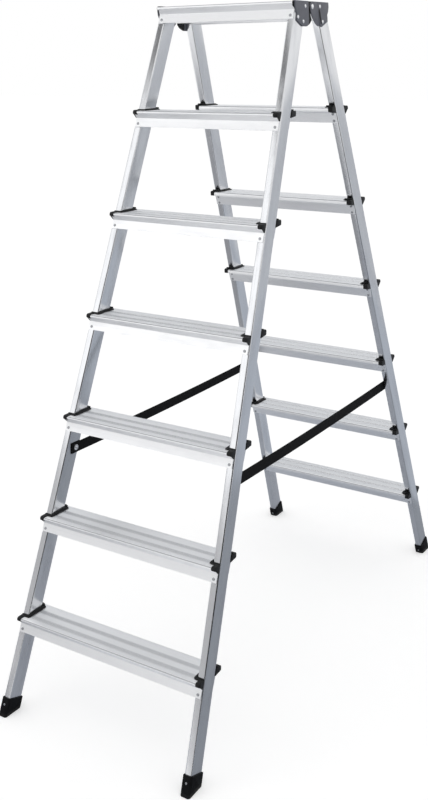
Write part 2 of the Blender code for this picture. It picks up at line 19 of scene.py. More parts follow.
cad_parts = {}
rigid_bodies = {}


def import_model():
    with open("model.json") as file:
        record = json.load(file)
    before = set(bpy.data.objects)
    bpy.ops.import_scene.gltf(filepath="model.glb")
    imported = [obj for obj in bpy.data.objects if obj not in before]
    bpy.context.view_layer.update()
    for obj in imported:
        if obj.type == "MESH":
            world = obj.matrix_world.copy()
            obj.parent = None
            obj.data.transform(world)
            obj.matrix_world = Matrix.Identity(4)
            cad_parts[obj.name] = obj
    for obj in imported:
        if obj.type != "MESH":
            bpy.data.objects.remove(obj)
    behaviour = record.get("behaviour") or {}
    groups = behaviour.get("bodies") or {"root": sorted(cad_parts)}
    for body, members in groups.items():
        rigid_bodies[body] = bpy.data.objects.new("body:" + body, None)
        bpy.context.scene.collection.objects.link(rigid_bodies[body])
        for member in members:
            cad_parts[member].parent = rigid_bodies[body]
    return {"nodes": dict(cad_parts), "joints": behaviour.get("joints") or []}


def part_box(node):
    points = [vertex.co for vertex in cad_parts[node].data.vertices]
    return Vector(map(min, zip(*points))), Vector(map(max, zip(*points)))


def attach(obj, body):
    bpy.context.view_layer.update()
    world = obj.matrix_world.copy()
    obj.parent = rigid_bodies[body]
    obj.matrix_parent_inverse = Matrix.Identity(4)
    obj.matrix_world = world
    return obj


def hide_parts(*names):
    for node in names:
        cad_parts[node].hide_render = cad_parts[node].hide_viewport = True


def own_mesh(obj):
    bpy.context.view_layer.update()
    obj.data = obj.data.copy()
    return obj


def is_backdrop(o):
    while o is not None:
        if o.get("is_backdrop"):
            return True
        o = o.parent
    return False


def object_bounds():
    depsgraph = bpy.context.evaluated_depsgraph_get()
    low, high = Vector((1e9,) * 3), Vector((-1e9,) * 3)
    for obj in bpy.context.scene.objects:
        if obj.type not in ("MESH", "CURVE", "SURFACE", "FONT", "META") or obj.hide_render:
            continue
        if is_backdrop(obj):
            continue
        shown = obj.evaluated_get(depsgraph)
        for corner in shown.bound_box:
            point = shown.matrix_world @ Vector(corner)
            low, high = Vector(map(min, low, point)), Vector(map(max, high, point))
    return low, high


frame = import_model()
CAD_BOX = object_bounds()

log = logging.getLogger("step_ladder")

GRAIN = "grain"
FIT_GAP = 0.0003
SMOOTH_LIMIT = math.radians(38)

# A corner blunter than STRAIGHT stays as it is. A rounding takes at most CUT_SHARE of an edge.
STRAIGHT = math.radians(165)
CUT_SHARE = 0.46
# Least divisor where an outline's edges meet sharply and are moved in.
SHARPEST = 0.3
# Share of a crowned prism's height that stays upright.
CROWN_FOOT = 0.3
# Share of a radius that is left at the floor of a hole and at the end of a flare.
TAPER = 0.8
# A colour mix's inputs and its result, among the node's sockets.
MIX_INPUTS = (0, 6, 7)
MIX_RESULT = 2

Outline = list[tuple[float, float]]
Ring = list[Vector]
Placer = Callable[[float, float, float], Vector]


class Flight(Enum):
    """The two flights, each named as its body is."""

    FRONT = "front"
    REAR = "rear"

    @property
    def body(self) -> str:
        """Name of the body that carries the flight."""
        return f"{self.value}_flight"

    @property
    def turn(self) -> Matrix:
        """Turn from the front flight's place to this one's."""
        return Matrix.Rotation(0.0 if self is Flight.FRONT else math.pi, 4, "Z")


class Hand(Enum):
    """A flight's own right and left, as someone sees them who climbs it."""

    RIGHT = 1
    LEFT = -1

    def label(self, flight: Flight) -> str:
        """Side of the whole ladder that this hand of a flight lies on."""
        lies_right = (self is Hand.RIGHT) == (flight is Flight.FRONT)
        return "right" if lies_right else "left"


class Slot(Enum):
    """The record's material slots."""

    STILE = "stile_aluminium"
    TREAD = "tread_aluminium"
    BLACK_PLASTIC = "black_plastic"
    HINGE_PLASTIC = "hinge_plastic"
    STEEL = "zinc_steel"
    WEBBING = "black_webbing"


class Cut(Enum):
    """Ways to combine solids."""

    JOIN = "UNION"
    REMOVE = "DIFFERENCE"


# Outlines and meshes


def arc(
    centre: tuple[float, float], radius: float, start: float, end: float, segments: int
) -> Outline:
    """Points of an arc.

    Args:
        centre: Middle of the arc.
        radius: Its radius.
        start: Angle of the first point, in degrees.
        end: Angle of the last point, in degrees.
        segments: Number of chords.

    Returns:
        The points from start to end.
    """
    points = []
    for step in range(segments + 1):
        angle = math.radians(start + (end - start) * step / segments)
        points.append((centre[0] + radius * math.cos(angle), centre[1] + radius * math.sin(angle)))
    return points


def fillet(
    outline: Outline, radius: float | Sequence[float], segments: int = 4, closed: bool = True
) -> Outline:
    """Round the corners of an outline.

    Args:
        outline: Corner points in order.
        radius: Radius of all corners or of each one, cut back where an edge is short.
        segments: Chords of each rounded corner.
        closed: Whether the last point joins the first.

    Returns:
        The outline with a curve in place of each real corner.
    """
    radii = [radius] * len(outline) if isinstance(radius, float) else radius
    rounded = []
    for index, point in enumerate(outline):
        corner = Vector(point)
        is_end = not closed and index in (0, len(outline) - 1)
        before = Vector(outline[index - 1]) - corner
        after = Vector(outline[(index + 1) % len(outline)]) - corner
        if is_end or before.angle(after) > STRAIGHT:
            rounded.append(point)
            continue
        reach = min(
            radii[index] / math.tan(before.angle(after) / 2),
            CUT_SHARE * before.length,
            CUT_SHARE * after.length,
        )
        start = corner + before.normalized() * reach
        end = corner + after.normalized() * reach
        for step in range(segments + 1):
            share = step / segments
            spot = start * (1 - share) ** 2 + corner * 2 * share * (1 - share) + end * share**2
            rounded.append((spot.x, spot.y))
    return rounded


def inset(outline: Outline, distance: float) -> Outline:
    """Move a closed outline inwards.

    Args:
        outline: Points in order, either way round.
        distance: How far every edge moves in.

    Returns:
        The smaller outline, point for point.
    """
    following = outline[1:] + outline[:1]
    area = sum(u0 * v1 - u1 * v0 for (u0, v0), (u1, v1) in zip(outline, following))
    turn = math.copysign(1.0, area)
    edges = [(Vector(b) - Vector(a)).normalized() for a, b in zip(outline, following)]
    normals = [Vector((-edge.y, edge.x)) * turn for edge in edges]
    moved = []
    for index, point in enumerate(outline):
        before = normals[index - 1]
        after = normals[index]
        shift = (before + after) * (distance / max(SHARPEST, 1 + before.dot(after)))
        moved.append((point[0] + shift.x, point[1] + shift.y))
    return moved


@dataclass(frozen=True)
class Shape:
    """Closed outline whose corners are rounded, all alike or each with its own radius."""

    corners: Outline
    radius: float | tuple[float, ...] = 0.0
    segments: int = 4

    def shrunk(self, distance: float = 0.0) -> Outline:
        """Outline moved inwards, with its roundings in step.

        Args:
            distance: How far every edge moves in.

        Returns:
            The outline, with as many points at any distance.
        """
        corners = inset(self.corners, distance)
        if not self.radius:
            return corners
        radii = (self.radius,) * len(corners) if isinstance(self.radius, float) else self.radius
        kept = [max(radius - distance, radius / 3) for radius in radii]
        return fillet(corners, kept, self.segments)


def offset_path(path: Outline, distance: float) -> Outline:
    """Move an open path to its right-hand side.

    Args:
        path: Points in order.
        distance: How far every edge moves.

    Returns:
        The moved path, point for point.
    """
    normals = []
    for (u0, v0), (u1, v1) in zip(path, path[1:]):
        length = math.hypot(u1 - u0, v1 - v0)
        normals.append(Vector(((v1 - v0) / length, (u0 - u1) / length)))
    moved = []
    for index, (u, v) in enumerate(path):
        before = normals[max(index - 1, 0)]
        after = normals[min(index, len(normals) - 1)]
        shift = (before + after) * (distance / (1 + before.dot(after)))
        moved.append((u + shift.x, v + shift.y))
    return moved


def rounded_rectangle(half_u: float, half_v: float, radius: float, segments: int) -> Outline:
    """Outline of a rectangle with round corners.

    Args:
        half_u: Half of its first side.
        half_v: Half of its second side.
        radius: Radius of the corners.
        segments: Chords of each corner.

    Returns:
        The closed outline.
    """
    points = []
    for quarter, (sign_u, sign_v) in enumerate(((1, 1), (-1, 1), (-1, -1), (1, -1))):
        centre = (sign_u * (half_u - radius), sign_v * (half_v - radius))
        points += arc(centre, radius, 90 * quarter, 90 * quarter + 90, segments)
    return points


def loft(name: str, rings: Sequence[Ring], closed: bool = False) -> bpy.types.Mesh:
    """Join rings of points into a skin.

    Args:
        name: Name of the mesh.
        rings: Rings with the same number of points, in order.
        closed: Whether the last ring joins the first; otherwise both ends are capped.

    Returns:
        The mesh, with its faces turned outwards.
    """
    builder = bmesh.new()
    loops = [[builder.verts.new(point) for point in ring] for ring in rings]
    pairs = list(zip(loops, loops[1:]))
    if closed:
        pairs.append((loops[-1], loops[0]))
    else:
        builder.faces.new(loops[0])
        builder.faces.new(loops[-1])
    for low, high in pairs:
        for index in range(len(low)):
            beside = (index + 1) % len(low)
            builder.faces.new((low[index], low[beside], high[beside], high[index]))
    bmesh.ops.recalc_face_normals(builder, faces=builder.faces)
    mesh = bpy.data.meshes.new(name)
    builder.to_mesh(mesh)
    builder.free()
    return mesh


def bar(
    name: str, section: Sequence[tuple[float, float]], ends: tuple[float, float]
) -> bpy.types.Mesh:
    """Straight bar along x.

    Args:
        name: Name of the mesh.
        section: Its section as (y, z) pairs.
        ends: x of its two ends.

    Returns:
        The mesh.
    """
    return loft(name, [[Vector((x, y, z)) for y, z in section] for x in ends])


def rounded_prism(
    name: str, shape: Shape, place: Placer, low: float, high: float, edge: float, steps: int = 3
) -> bpy.types.Mesh:
    """Prism with rounded rims.

    Args:
        name: Name of the mesh.
        shape: Outline of the prism.
        place: Turns an outline point and a height into a point of the ladder.
        low: Height of the first face.
        high: Height of the last face.
        edge: Radius of both rims.
        steps: Chords of each rim.

    Returns:
        The mesh.
    """
    stations = []
    for step in range(steps + 1):
        angle = math.pi / 2 * step / steps
        stations.append((low + edge * (1 - math.cos(angle)), edge * (1 - math.sin(angle))))
    stations += [(low + high - height, shrink) for height, shrink in reversed(stations)]
    rings = [[place(u, v, height) for u, v in shape.shrunk(shrink)] for height, shrink in stations]
    return loft(name, rings)


def crowned_prism(
    name: str, shape: Shape, place: Placer, low: float, high: float, edge: float, steps: int = 5
) -> bpy.types.Mesh:
    """Prism whose upper rim alone is rounded, in a flat curve.

    Args:
        name: Name of the mesh.
        shape: Outline of the prism.
        place: Turns an outline point and a height into a point of the ladder.
        low: Height of the base.
        high: Height of the crown.
        edge: How far the rim moves in.
        steps: Chords of the curve.

    Returns:
        The mesh.
    """
    rings = [[place(u, v, low) for u, v in shape.shrunk()]]
    rise = (high - low) * CROWN_FOOT
    for step in range(steps + 1):
        angle = math.pi / 2 * step / steps
        height = low + rise + (high - low - rise) * math.sin(angle)
        rings.append([place(u, v, height) for u, v in shape.shrunk(edge * (1 - math.cos(angle)))])
    return loft(name, rings)


def spline(points: Sequence[tuple[float, float]], segments: int) -> Outline:
    """Smooth curve through points.

    Args:
        points: Points that the curve passes, in order.
        segments: Chords between two points.

    Returns:
        The curve from the first point to the last.
    """
    knots = [Vector(point) for point in (points[0], *points, points[-1])]
    curve = []
    for a, b, c, d in zip(knots, knots[1:], knots[2:], knots[3:]):
        for step in range(segments):
            t = step / segments
            bend = 2 * a - 5 * b + 4 * c - d
            twist = 3 * b - a - 3 * c + d
            spot = 0.5 * (2 * b + (c - a) * t + bend * t**2 + twist * t**3)
            curve.append((spot.x, spot.y))
    return curve + [points[-1]]


def turned(
    name: str, profile: Outline, centre: Vector, direction: Vector, segments: int = 24
) -> bpy.types.Mesh:
    """Solid turned round a line.

    Args:
        name: Name of the mesh.
        profile: Pairs of a distance along the line and a radius.
        centre: Point that the distances count from.
        direction: Direction of the line.
        segments: Facets round the line.

    Returns:
        The mesh.
    """
    turn = direction.to_track_quat("Z", "Y").to_matrix()
    rings = []
    for along, radius in profile:
        ring = []
        for step in range(segments):
            angle = math.tau * step / segments
            spoke = Vector((radius * math.cos(angle), radius * math.sin(angle), along))
            ring.append(centre + turn @ spoke)
        rings.append(ring)
    return loft(name, rings)


def combine(mesh: bpy.types.Mesh, tools: Iterable[bpy.types.Mesh], how: Cut) -> bpy.types.Mesh:
    """Join meshes with, or cut them out of, a first mesh.

    Args:
        mesh: The mesh to start from.
        tools: The meshes to join or to cut with.
        how: Join or remove.

    Returns:
        The new mesh.
    """
    links = bpy.context.scene.collection.objects
    target = bpy.data.objects.new("work", mesh)
    links.link(target)
    helpers = [bpy.data.objects.new("tool", tool) for tool in tools]
    for helper in helpers:
        links.link(helper)
        modifier = target.modifiers.new("shape", "BOOLEAN")
        modifier.operation = how.value
        modifier.object = helper
    bpy.context.view_layer.update()
    shaped = target.evaluated_get(bpy.context.evaluated_depsgraph_get())
    result = bpy.data.meshes.new_from_object(shaped)
    for item in (target, *helpers):
        bpy.data.objects.remove(item, do_unlink=True)
    return result


def gathered(name: str, meshes: Iterable[bpy.types.Mesh]) -> bpy.types.Mesh:
    """Put separate bodies into one mesh.

    Args:
        name: Name of the new mesh.
        meshes: The bodies.

    Returns:
        One mesh that holds them all.
    """
    builder = bmesh.new()
    for mesh in meshes:
        builder.from_mesh(mesh)
    whole = bpy.data.meshes.new(name)
    builder.to_mesh(whole)
    builder.free()
    return whole


def beside(y: float, z: float, x: float) -> Vector:
    """Point of an outline that stands square to x."""
    return Vector((x, y, z))


def mirrored(mesh: bpy.types.Mesh) -> bpy.types.Mesh:
    """Copy a right-hand mesh for the left-hand side.

    Args:
        mesh: The mesh to copy.

    Returns:
        Its mirror image across the plane x = 0.
    """
    copy = mesh.copy()
    copy.transform(Matrix.Scale(-1, 4, (1, 0, 0)))
    copy.flip_normals()
    return copy


# The ladder's form, which every sub-assembly reads


@dataclass(frozen=True)
class LadderForm:
    """Sizes that the pieces share, and points of the front flight's right-hand stile."""

    lean: float = math.radians(20.75)
    splay: float = math.radians(3.23)
    top_spacing: float = 0.3216
    stile_depth: float = 0.040
    stile_width: float = 0.017
    nose_overhang: float = 0.019
    tread_count: int = 7

    @property
    def half_depth(self) -> float:
        """Half of the stile's section, front to back."""
        return self.stile_depth / 2

    @property
    def half_width(self) -> float:
        """Half of the stile's section, side to side."""
        return self.stile_width / 2

    @property
    def level_half_depth(self) -> float:
        """Half of the stile's depth, measured level."""
        return self.half_depth / math.cos(self.lean)

    @property
    def normal(self) -> Vector:
        """Direction out of the stile's back face."""
        return Vector((0, math.cos(self.lean), -math.sin(self.lean)))

    @property
    def axis(self) -> Vector:
        """Direction up the stile."""
        return Vector((-math.tan(self.splay), math.tan(self.lean), 1)).normalized()

    @property
    def cross(self) -> Vector:
        """Direction out of the stile's outer side."""
        return self.normal.cross(self.axis).normalized()

    def tread_top(self, number: int) -> float:
        """Height of a tread's top, counted from 1 at the bottom."""
        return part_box(f"front_tread_{number}")[1].z

    def stile_point(self, height: float) -> Vector:
        """Point of the stile's axis.

        Args:
            height: Height above the floor.

        Returns:
            The point at that height.
        """
        top = f"front_tread_{self.tread_count}"
        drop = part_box(top)[1].z - height
        head_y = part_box(top)[0].y + self.nose_overhang + self.level_half_depth
        x = self.top_spacing / 2 + drop * math.tan(self.splay)
        return Vector((x, head_y - drop * math.tan(self.lean), height))

    def front_face(self, level: float) -> float:
        """y of the stile's front face, from its axis at a tread's top, at a level above that."""
        return level * math.tan(self.lean) - self.level_half_depth

    def back_face(self, level: float) -> float:
        """y of the stile's back face, from its axis at a tread's top, at a level above that."""
        return level * math.tan(self.lean) + self.level_half_depth

    def section_point(self, across: float, depth: float, level: float) -> Vector:
        """Point of the stile's section, slid along its axis to a level.

        Args:
            across: Distance from the axis towards the outer side.
            depth: Distance from the axis towards the back.
            level: Level to slide to.

        Returns:
            The point, from the axis at level 0.
        """
        point = self.cross * across + self.normal * depth
        return point + self.axis * ((level - point.z) / self.axis.z)

    def square_point(self, across: float, depth: float, along: float) -> Vector:
        """Point of the stile's square section at a distance along its axis."""
        return self.cross * across + self.normal * depth + self.axis * along

    def side_point(self, y: float, level: float, across: float) -> Vector:
        """Point on a plane that runs parallel to the stile's sides.

        Args:
            y: Distance behind the axis.
            level: Level above the axis's origin.
            across: How far the plane lies outside the axis.

        Returns:
            The point, from the axis at level 0.
        """
        x = (across - self.cross.y * y - self.cross.z * level) / self.cross.x
        return Vector((x, y, level))


FORM = LadderForm()


# Finishes


class Graph:
    """Node tree of one material, with short calls to add and join nodes."""

    def __init__(self, name: str) -> None:
        """Start a material.

        Args:
            name: Name of the material.
        """
        self.material = bpy.data.materials.new(name)
        self.material.use_nodes = True
        self.tree = self.material.node_tree
        self.shader = self.tree.nodes["Principled BSDF"]

    def node(self, kind: str, inputs: dict | None = None, **settings: object) -> bpy.types.Node:
        """Add a node.

        Args:
            kind: Type of the node, without its usual prefix.
            inputs: For each input, a value to set or a socket to join.
            settings: Properties of the node.

        Returns:
            The node.
        """
        made = self.tree.nodes.new(f"ShaderNode{kind}")
        for name, value in settings.items():
            setattr(made, name, value)
        for key, value in (inputs or {}).items():
            self.put(made.inputs[key], value)
        return made

    def put(self, socket: bpy.types.NodeSocket, value: object) -> None:
        """Set a socket to a value, or join another socket to it.

        Args:
            socket: The input.
            value: A number, a tuple or an output socket.
        """
        if isinstance(value, bpy.types.NodeSocket):
            self.tree.links.new(value, socket)
        else:
            socket.default_value = value

    def grain(self, stretch: tuple[float, float, float]) -> bpy.types.NodeSocket:
        """Coordinates along, across and through a piece's grain.

        Args:
            stretch: Pattern repeats per metre in each direction.

        Returns:
            The coordinates.
        """
        source = self.node("Attribute", attribute_name=GRAIN).outputs["Vector"]
        return self.node("VectorMath", {0: source, 1: stretch}, operation="MULTIPLY").outputs[0]

    def noise(
        self, vector: bpy.types.NodeSocket, detail: float, roughness: float = 0.5
    ) -> bpy.types.NodeSocket:
        """Noise over coordinates.

        Args:
            vector: The coordinates, one repeat per unit.
            detail: Octaves of finer noise.
            roughness: Share of each finer octave.

        Returns:
            The noise, from 0 to 1.
        """
        settings = {"Vector": vector, "Scale": 1.0, "Detail": detail, "Roughness": roughness}
        return self.node("TexNoise", settings).outputs["Fac"]

    def ramp(
        self,
        value: bpy.types.NodeSocket,
        low: float,
        high: float,
        start: float = 0.0,
        end: float = 1.0,
    ) -> bpy.types.NodeSocket:
        """Map a value smoothly from one range to another.

        Args:
            value: The value.
            low: Where the result starts to change.
            high: Where it stops.
            start: Result up to low.
            end: Result from high.

        Returns:
            The mapped value.
        """
        ends = {"Value": value, "From Min": low, "From Max": high, "To Min": start, "To Max": end}
        return self.node("MapRange", ends, interpolation_type="SMOOTHSTEP").outputs["Result"]

    def math(self, operation: str, first: object, second: object) -> bpy.types.NodeSocket:
        """Result of arithmetic on two values or sockets."""
        return self.node("Math", {0: first, 1: second}, operation=operation).outputs[0]

    def mix(
        self, share: bpy.types.NodeSocket, first: object, second: object
    ) -> bpy.types.NodeSocket:
        """Mix two colours.

        Args:
            share: Share of the second colour.
            first: A colour or a socket.
            second: A colour or a socket.

        Returns:
            The mixed colour.
        """
        made = self.node("Mix", data_type="RGBA")
        for index, value in zip(MIX_INPUTS, (share, first, second)):
            self.put(made.inputs[index], value)
        return made.outputs[MIX_RESULT]

    def bump(self, height: bpy.types.NodeSocket, depth: float, strength: float) -> None:
        """Give the surface relief.

        Args:
            height: Height from 0 to 1.
            depth: Height of 1 in metres.
            strength: How strongly it shows.
        """
        made = self.node("Bump", {"Height": height, "Distance": depth, "Strength": strength})
        self.put(self.shader.inputs["Normal"], made.outputs["Normal"])

    def set(self, **values: object) -> None:
        """Set or join the shader's inputs, named with _ in place of spaces."""
        for name, value in values.items():
            self.put(self.shader.inputs[name.replace("_", " ")], value)


Colour = tuple[float, float, float, float]


@dataclass(frozen=True)
class Aluminium:
    """What both aluminium finishes share: fine lines along the draw, dull patches and streaks."""

    name: str
    colour: Colour
    dull: Colour
    gloss: float
    matt: float
    lines: tuple[float, float, float]
    patches: tuple[float, float, float]
    worn: tuple[float, float]
    wear_share: float
    streak_share: float
    streaked: tuple[float, float] = (0.45, 0.75)
    line_noise: tuple[float, float] = (5, 0.65)
    patch_noise: tuple[float, float] = (4, 0.6)
    line_depth: float = 0.00003
    relief: float = 0.35

    def worn_metal(self, graph: Graph) -> bpy.types.NodeSocket:
        """Set the metal's gloss and relief.

        Args:
            graph: The material's nodes.

        Returns:
            The metal's colour.
        """
        lines = graph.noise(graph.grain(self.lines), *self.line_noise)
        patches = graph.noise(graph.grain(self.patches), *self.patch_noise)
        wear = graph.math("MULTIPLY", graph.ramp(patches, *self.worn), self.wear_share)
        streak = graph.math("MULTIPLY", graph.ramp(lines, *self.streaked), self.streak_share)
        share = graph.math("ADD", wear, streak)
        graph.set(Roughness=graph.ramp(share, 0.0, 1.0, self.gloss, self.matt), Metallic=1.0)
        graph.bump(lines, self.line_depth, self.relief)
        return graph.mix(share, self.colour, self.dull)


@dataclass(frozen=True)
class DrawnAluminium(Aluminium):
    """Bare drawn aluminium of the stiles."""

    name: str = "drawn_aluminium"
    colour: Colour = (0.74, 0.75, 0.77, 1)
    dull: Colour = (0.62, 0.63, 0.655, 1)
    gloss: float = 0.17
    matt: float = 0.30
    lines: tuple[float, float, float] = (2.5, 900, 900)
    patches: tuple[float, float, float] = (9, 45, 45)
    worn: tuple[float, float] = (0.42, 0.72)
    wear_share: float = 0.7
    streak_share: float = 0.5

    def build(self) -> bpy.types.Material:
        """Make the material.

        Returns:
            The material.
        """
        graph = Graph(self.name)
        graph.set(Base_Color=self.worn_metal(graph))
        return graph.material


@dataclass(frozen=True)
class RibbedAluminium(Aluminium):
    """Extruded aluminium of the treads: bright rib crests, and painted shade in the rib valleys
    near the top.
    """

    name: str = "ribbed_aluminium"
    colour: Colour = (0.965, 0.972, 0.985, 1)
    dull: Colour = (0.895, 0.903, 0.92, 1)
    gloss: float = 0.40
    matt: float = 0.52
    lines: tuple[float, float, float] = (3, 700, 700)
    patches: tuple[float, float, float] = (14, 60, 60)
    worn: tuple[float, float] = (0.42, 0.74)
    wear_share: float = 0.45
    streak_share: float = 0.4
    # Painted shade: the colour laid into the rib valleys, for the shade that the ribs cast on each
    # other.
    shaded: Colour = (0.42, 0.43, 0.45, 1)
    valley: tuple[float, float] = (-0.0003, -0.00003)
    below_top: float = -0.0017
    top_blend: float = 0.0003

    def build(self) -> bpy.types.Material:
        """Make the material.

        Returns:
            The material.
        """
        graph = Graph(self.name)
        level = graph.node("SeparateXYZ", {0: graph.grain((1, 1, 1))}).outputs["Z"]
        # Painted shade: valleys within the top are mixed towards the shaded colour.
        in_valley = graph.ramp(level, *self.valley, 1.0, 0.0)
        on_top = graph.ramp(level, self.below_top, self.below_top + self.top_blend)
        painted_valley_shade = graph.math("MULTIPLY", in_valley, on_top)
        graph.set(Base_Color=graph.mix(painted_valley_shade, self.worn_metal(graph), self.shaded))
        return graph.material


@dataclass(frozen=True)
class MouldedPlastic:
    """Moulded plastic: a spark-grained skin, uneven sheen and edges rubbed paler."""

    name: str
    colour: Colour
    rubbed: Colour
    gloss: float = 0.38
    matt: float = 0.58
    specular: float = 0.5
    skin: tuple[float, float, float] = (1400, 1400, 1400)
    patches: tuple[float, float, float] = (60, 60, 60)
    skin_noise: tuple[float, float] = (3, 0.6)
    patch_noise: tuple[float, float] = (4, 0.6)
    edge_range: tuple[float, float] = (0.52, 0.60)
    rub_range: tuple[float, float] = (0.35, 0.65)
    rub_shares: tuple[float, float] = (0.2, 0.9)
    dust_range: tuple[float, float] = (0.45, 0.8)
    dust_share: float = 0.35
    sheen_range: tuple[float, float] = (0.3, 0.7)
    skin_depth: float = 0.00006
    relief: float = 0.5

    def build(self) -> bpy.types.Material:
        """Make the material.

        Returns:
            The material.
        """
        graph = Graph(self.name)
        skin = graph.noise(graph.grain(self.skin), *self.skin_noise)
        patches = graph.noise(graph.grain(self.patches), *self.patch_noise)
        edges = graph.ramp(graph.node("NewGeometry").outputs["Pointiness"], *self.edge_range)
        uneven = graph.ramp(patches, *self.rub_range, *self.rub_shares)
        rubbed = graph.math("MULTIPLY", edges, uneven)
        dusty = graph.math("MULTIPLY", graph.ramp(patches, *self.dust_range), self.dust_share)
        graph.set(
            Base_Color=graph.mix(graph.math("MAXIMUM", rubbed, dusty), self.colour, self.rubbed),
            Roughness=graph.ramp(patches, *self.sheen_range, self.gloss, self.matt),
            Specular_IOR_Level=self.specular,
        )
        graph.bump(skin, self.skin_depth, self.relief)
        return graph.material


@dataclass(frozen=True)
class ZincSteel:
    """Zinc-plated steel of rivets and pins: bright, with a faint bloom."""

    name: str = "zinc_steel"
    colour: Colour = (0.50, 0.51, 0.53, 1)
    bloom: Colour = (0.38, 0.39, 0.41, 1)
    gloss: float = 0.24
    matt: float = 0.42
    patches: tuple[float, float, float] = (350, 350, 350)
    patch_noise: tuple[float, float] = (5, 0.6)
    bloomed: tuple[float, float] = (0.35, 0.7)
    tumbled_depth: float = 0.00004
    relief: float = 0.3

    def build(self) -> bpy.types.Material:
        """Make the material.

        Returns:
            The material.
        """
        graph = Graph(self.name)
        patches = graph.noise(graph.grain(self.patches), *self.patch_noise)
        share = graph.ramp(patches, *self.bloomed)
        graph.set(
            Base_Color=graph.mix(share, self.colour, self.bloom),
            Roughness=graph.ramp(share, 0.0, 1.0, self.gloss, self.matt),
            Metallic=1.0,
        )
        graph.bump(patches, self.tumbled_depth, self.relief)
        return graph.material


@dataclass(frozen=True)
class WovenWebbing:
    """Black polyester webbing: twill floats that slant across lengthwise ribs, with a painted
    highlight on the raised floats.
    """

    name: str = "black_webbing"
    colour: Colour = (0.003, 0.0032, 0.0036, 1)
    painted_highlight: Colour = (0.010, 0.0105, 0.012, 1)
    floats: tuple[float, float, float] = (1800, 900, 0)
    slant: tuple[float, float, float] = (1, 1, 0)
    fibres: tuple[float, float, float] = (500, 4000, 4000)
    fibre_noise: tuple[float, float] = (3, 0.6)
    float_share: float = 0.8
    fibre_share: float = 0.2
    painted_highlight_share: float = 0.8
    sheen_range: tuple[float, float] = (0.3, 0.7)
    gloss: float = 0.6
    matt: float = 0.85
    specular: float = 0.12
    float_depth: float = 0.00025
    relief: float = 0.7

    def build(self) -> bpy.types.Material:
        """Make the material.

        Returns:
            The material.
        """
        graph = Graph(self.name)
        weave = {0: graph.grain(self.floats), 1: self.slant}
        phase = graph.node("VectorMath", weave, operation="DOT_PRODUCT").outputs["Value"]
        floats = graph.ramp(graph.math("SINE", phase, 0.0), -1.0, 1.0)
        fibres = graph.noise(graph.grain(self.fibres), *self.fibre_noise)
        height = graph.math(
            "ADD",
            graph.math("MULTIPLY", floats, self.float_share),
            graph.math("MULTIPLY", fibres, self.fibre_share),
        )
        # Painted highlight: the colour lifts with the weave's height, as if the raised floats
        # caught the light.
        painted_highlight = graph.math("MULTIPLY", height, self.painted_highlight_share)
        graph.set(
            Base_Color=graph.mix(painted_highlight, self.colour, self.painted_highlight),
            Roughness=graph.ramp(fibres, *self.sheen_range, self.gloss, self.matt),
            Specular_IOR_Level=self.specular,
        )
        graph.bump(height, self.float_depth, self.relief)
        return graph.material


@dataclass
class Finishes:
    """The materials of all pieces, made once."""

    stile: bpy.types.Material = field(default_factory=lambda: DrawnAluminium().build())
    tread: bpy.types.Material = field(default_factory=lambda: RibbedAluminium().build())
    black: bpy.types.Material = field(
        default_factory=lambda: MouldedPlastic(
            "black_plastic", (0.008, 0.0085, 0.0095, 1), (0.026, 0.027, 0.029, 1), specular=0.22
        ).build()
    )
    rubber: bpy.types.Material = field(
        default_factory=lambda: MouldedPlastic(
            "black_rubber", (0.0035, 0.0037, 0.0043, 1), (0.011, 0.0115, 0.013, 1), specular=0.10
        ).build()
    )
    hinge: bpy.types.Material = field(
        default_factory=lambda: MouldedPlastic(
            "grey_plastic",
            (0.116, 0.122, 0.148, 1),
            (0.180, 0.187, 0.215, 1),
            gloss=0.42,
            matt=0.6,
        ).build()
    )
    steel: bpy.types.Material = field(default_factory=lambda: ZincSteel().build())
    bright: bpy.types.Material = field(
        default_factory=lambda: ZincSteel(
            "bright_zinc", (0.86, 0.865, 0.88, 1), (0.70, 0.71, 0.73, 1)
        ).build()
    )
    webbing: bpy.types.Material = field(default_factory=lambda: WovenWebbing().build())


# Pieces


def corners() -> Iterator[tuple[Flight, Hand, str]]:
    """Go round the ladder's stiles.

    Returns:
        The flight and the hand of each stile, with the start of its pieces' names.
    """
    for flight in Flight:
        for hand in Hand:
            yield flight, hand, f"{flight.value}_{hand.label(flight)}"


def lay_grain(mesh: bpy.types.Mesh, axes: Matrix | None = None) -> bpy.types.Mesh:
    """Store each point's place along, across and through the grain.

    Args:
        mesh: The mesh to mark.
        axes: Turns a point of the mesh into grain coordinates, if they differ.

    Returns:
        The same mesh.
    """
    layer = mesh.attributes.new(GRAIN, "FLOAT_VECTOR", "POINT")
    turn = axes or Matrix.Identity(4)
    flat = [value for vertex in mesh.vertices for value in turn @ vertex.co]
    layer.data.foreach_set("vector", flat)
    return mesh


def axes_of(along: Vector, across: Vector) -> Matrix:
    """Matrix that turns a point into grain coordinates.

    Args:
        along: Direction of the grain.
        across: Direction across it.

    Returns:
        The matrix.
    """
    return Matrix((along, across, along.cross(across))).to_4x4()


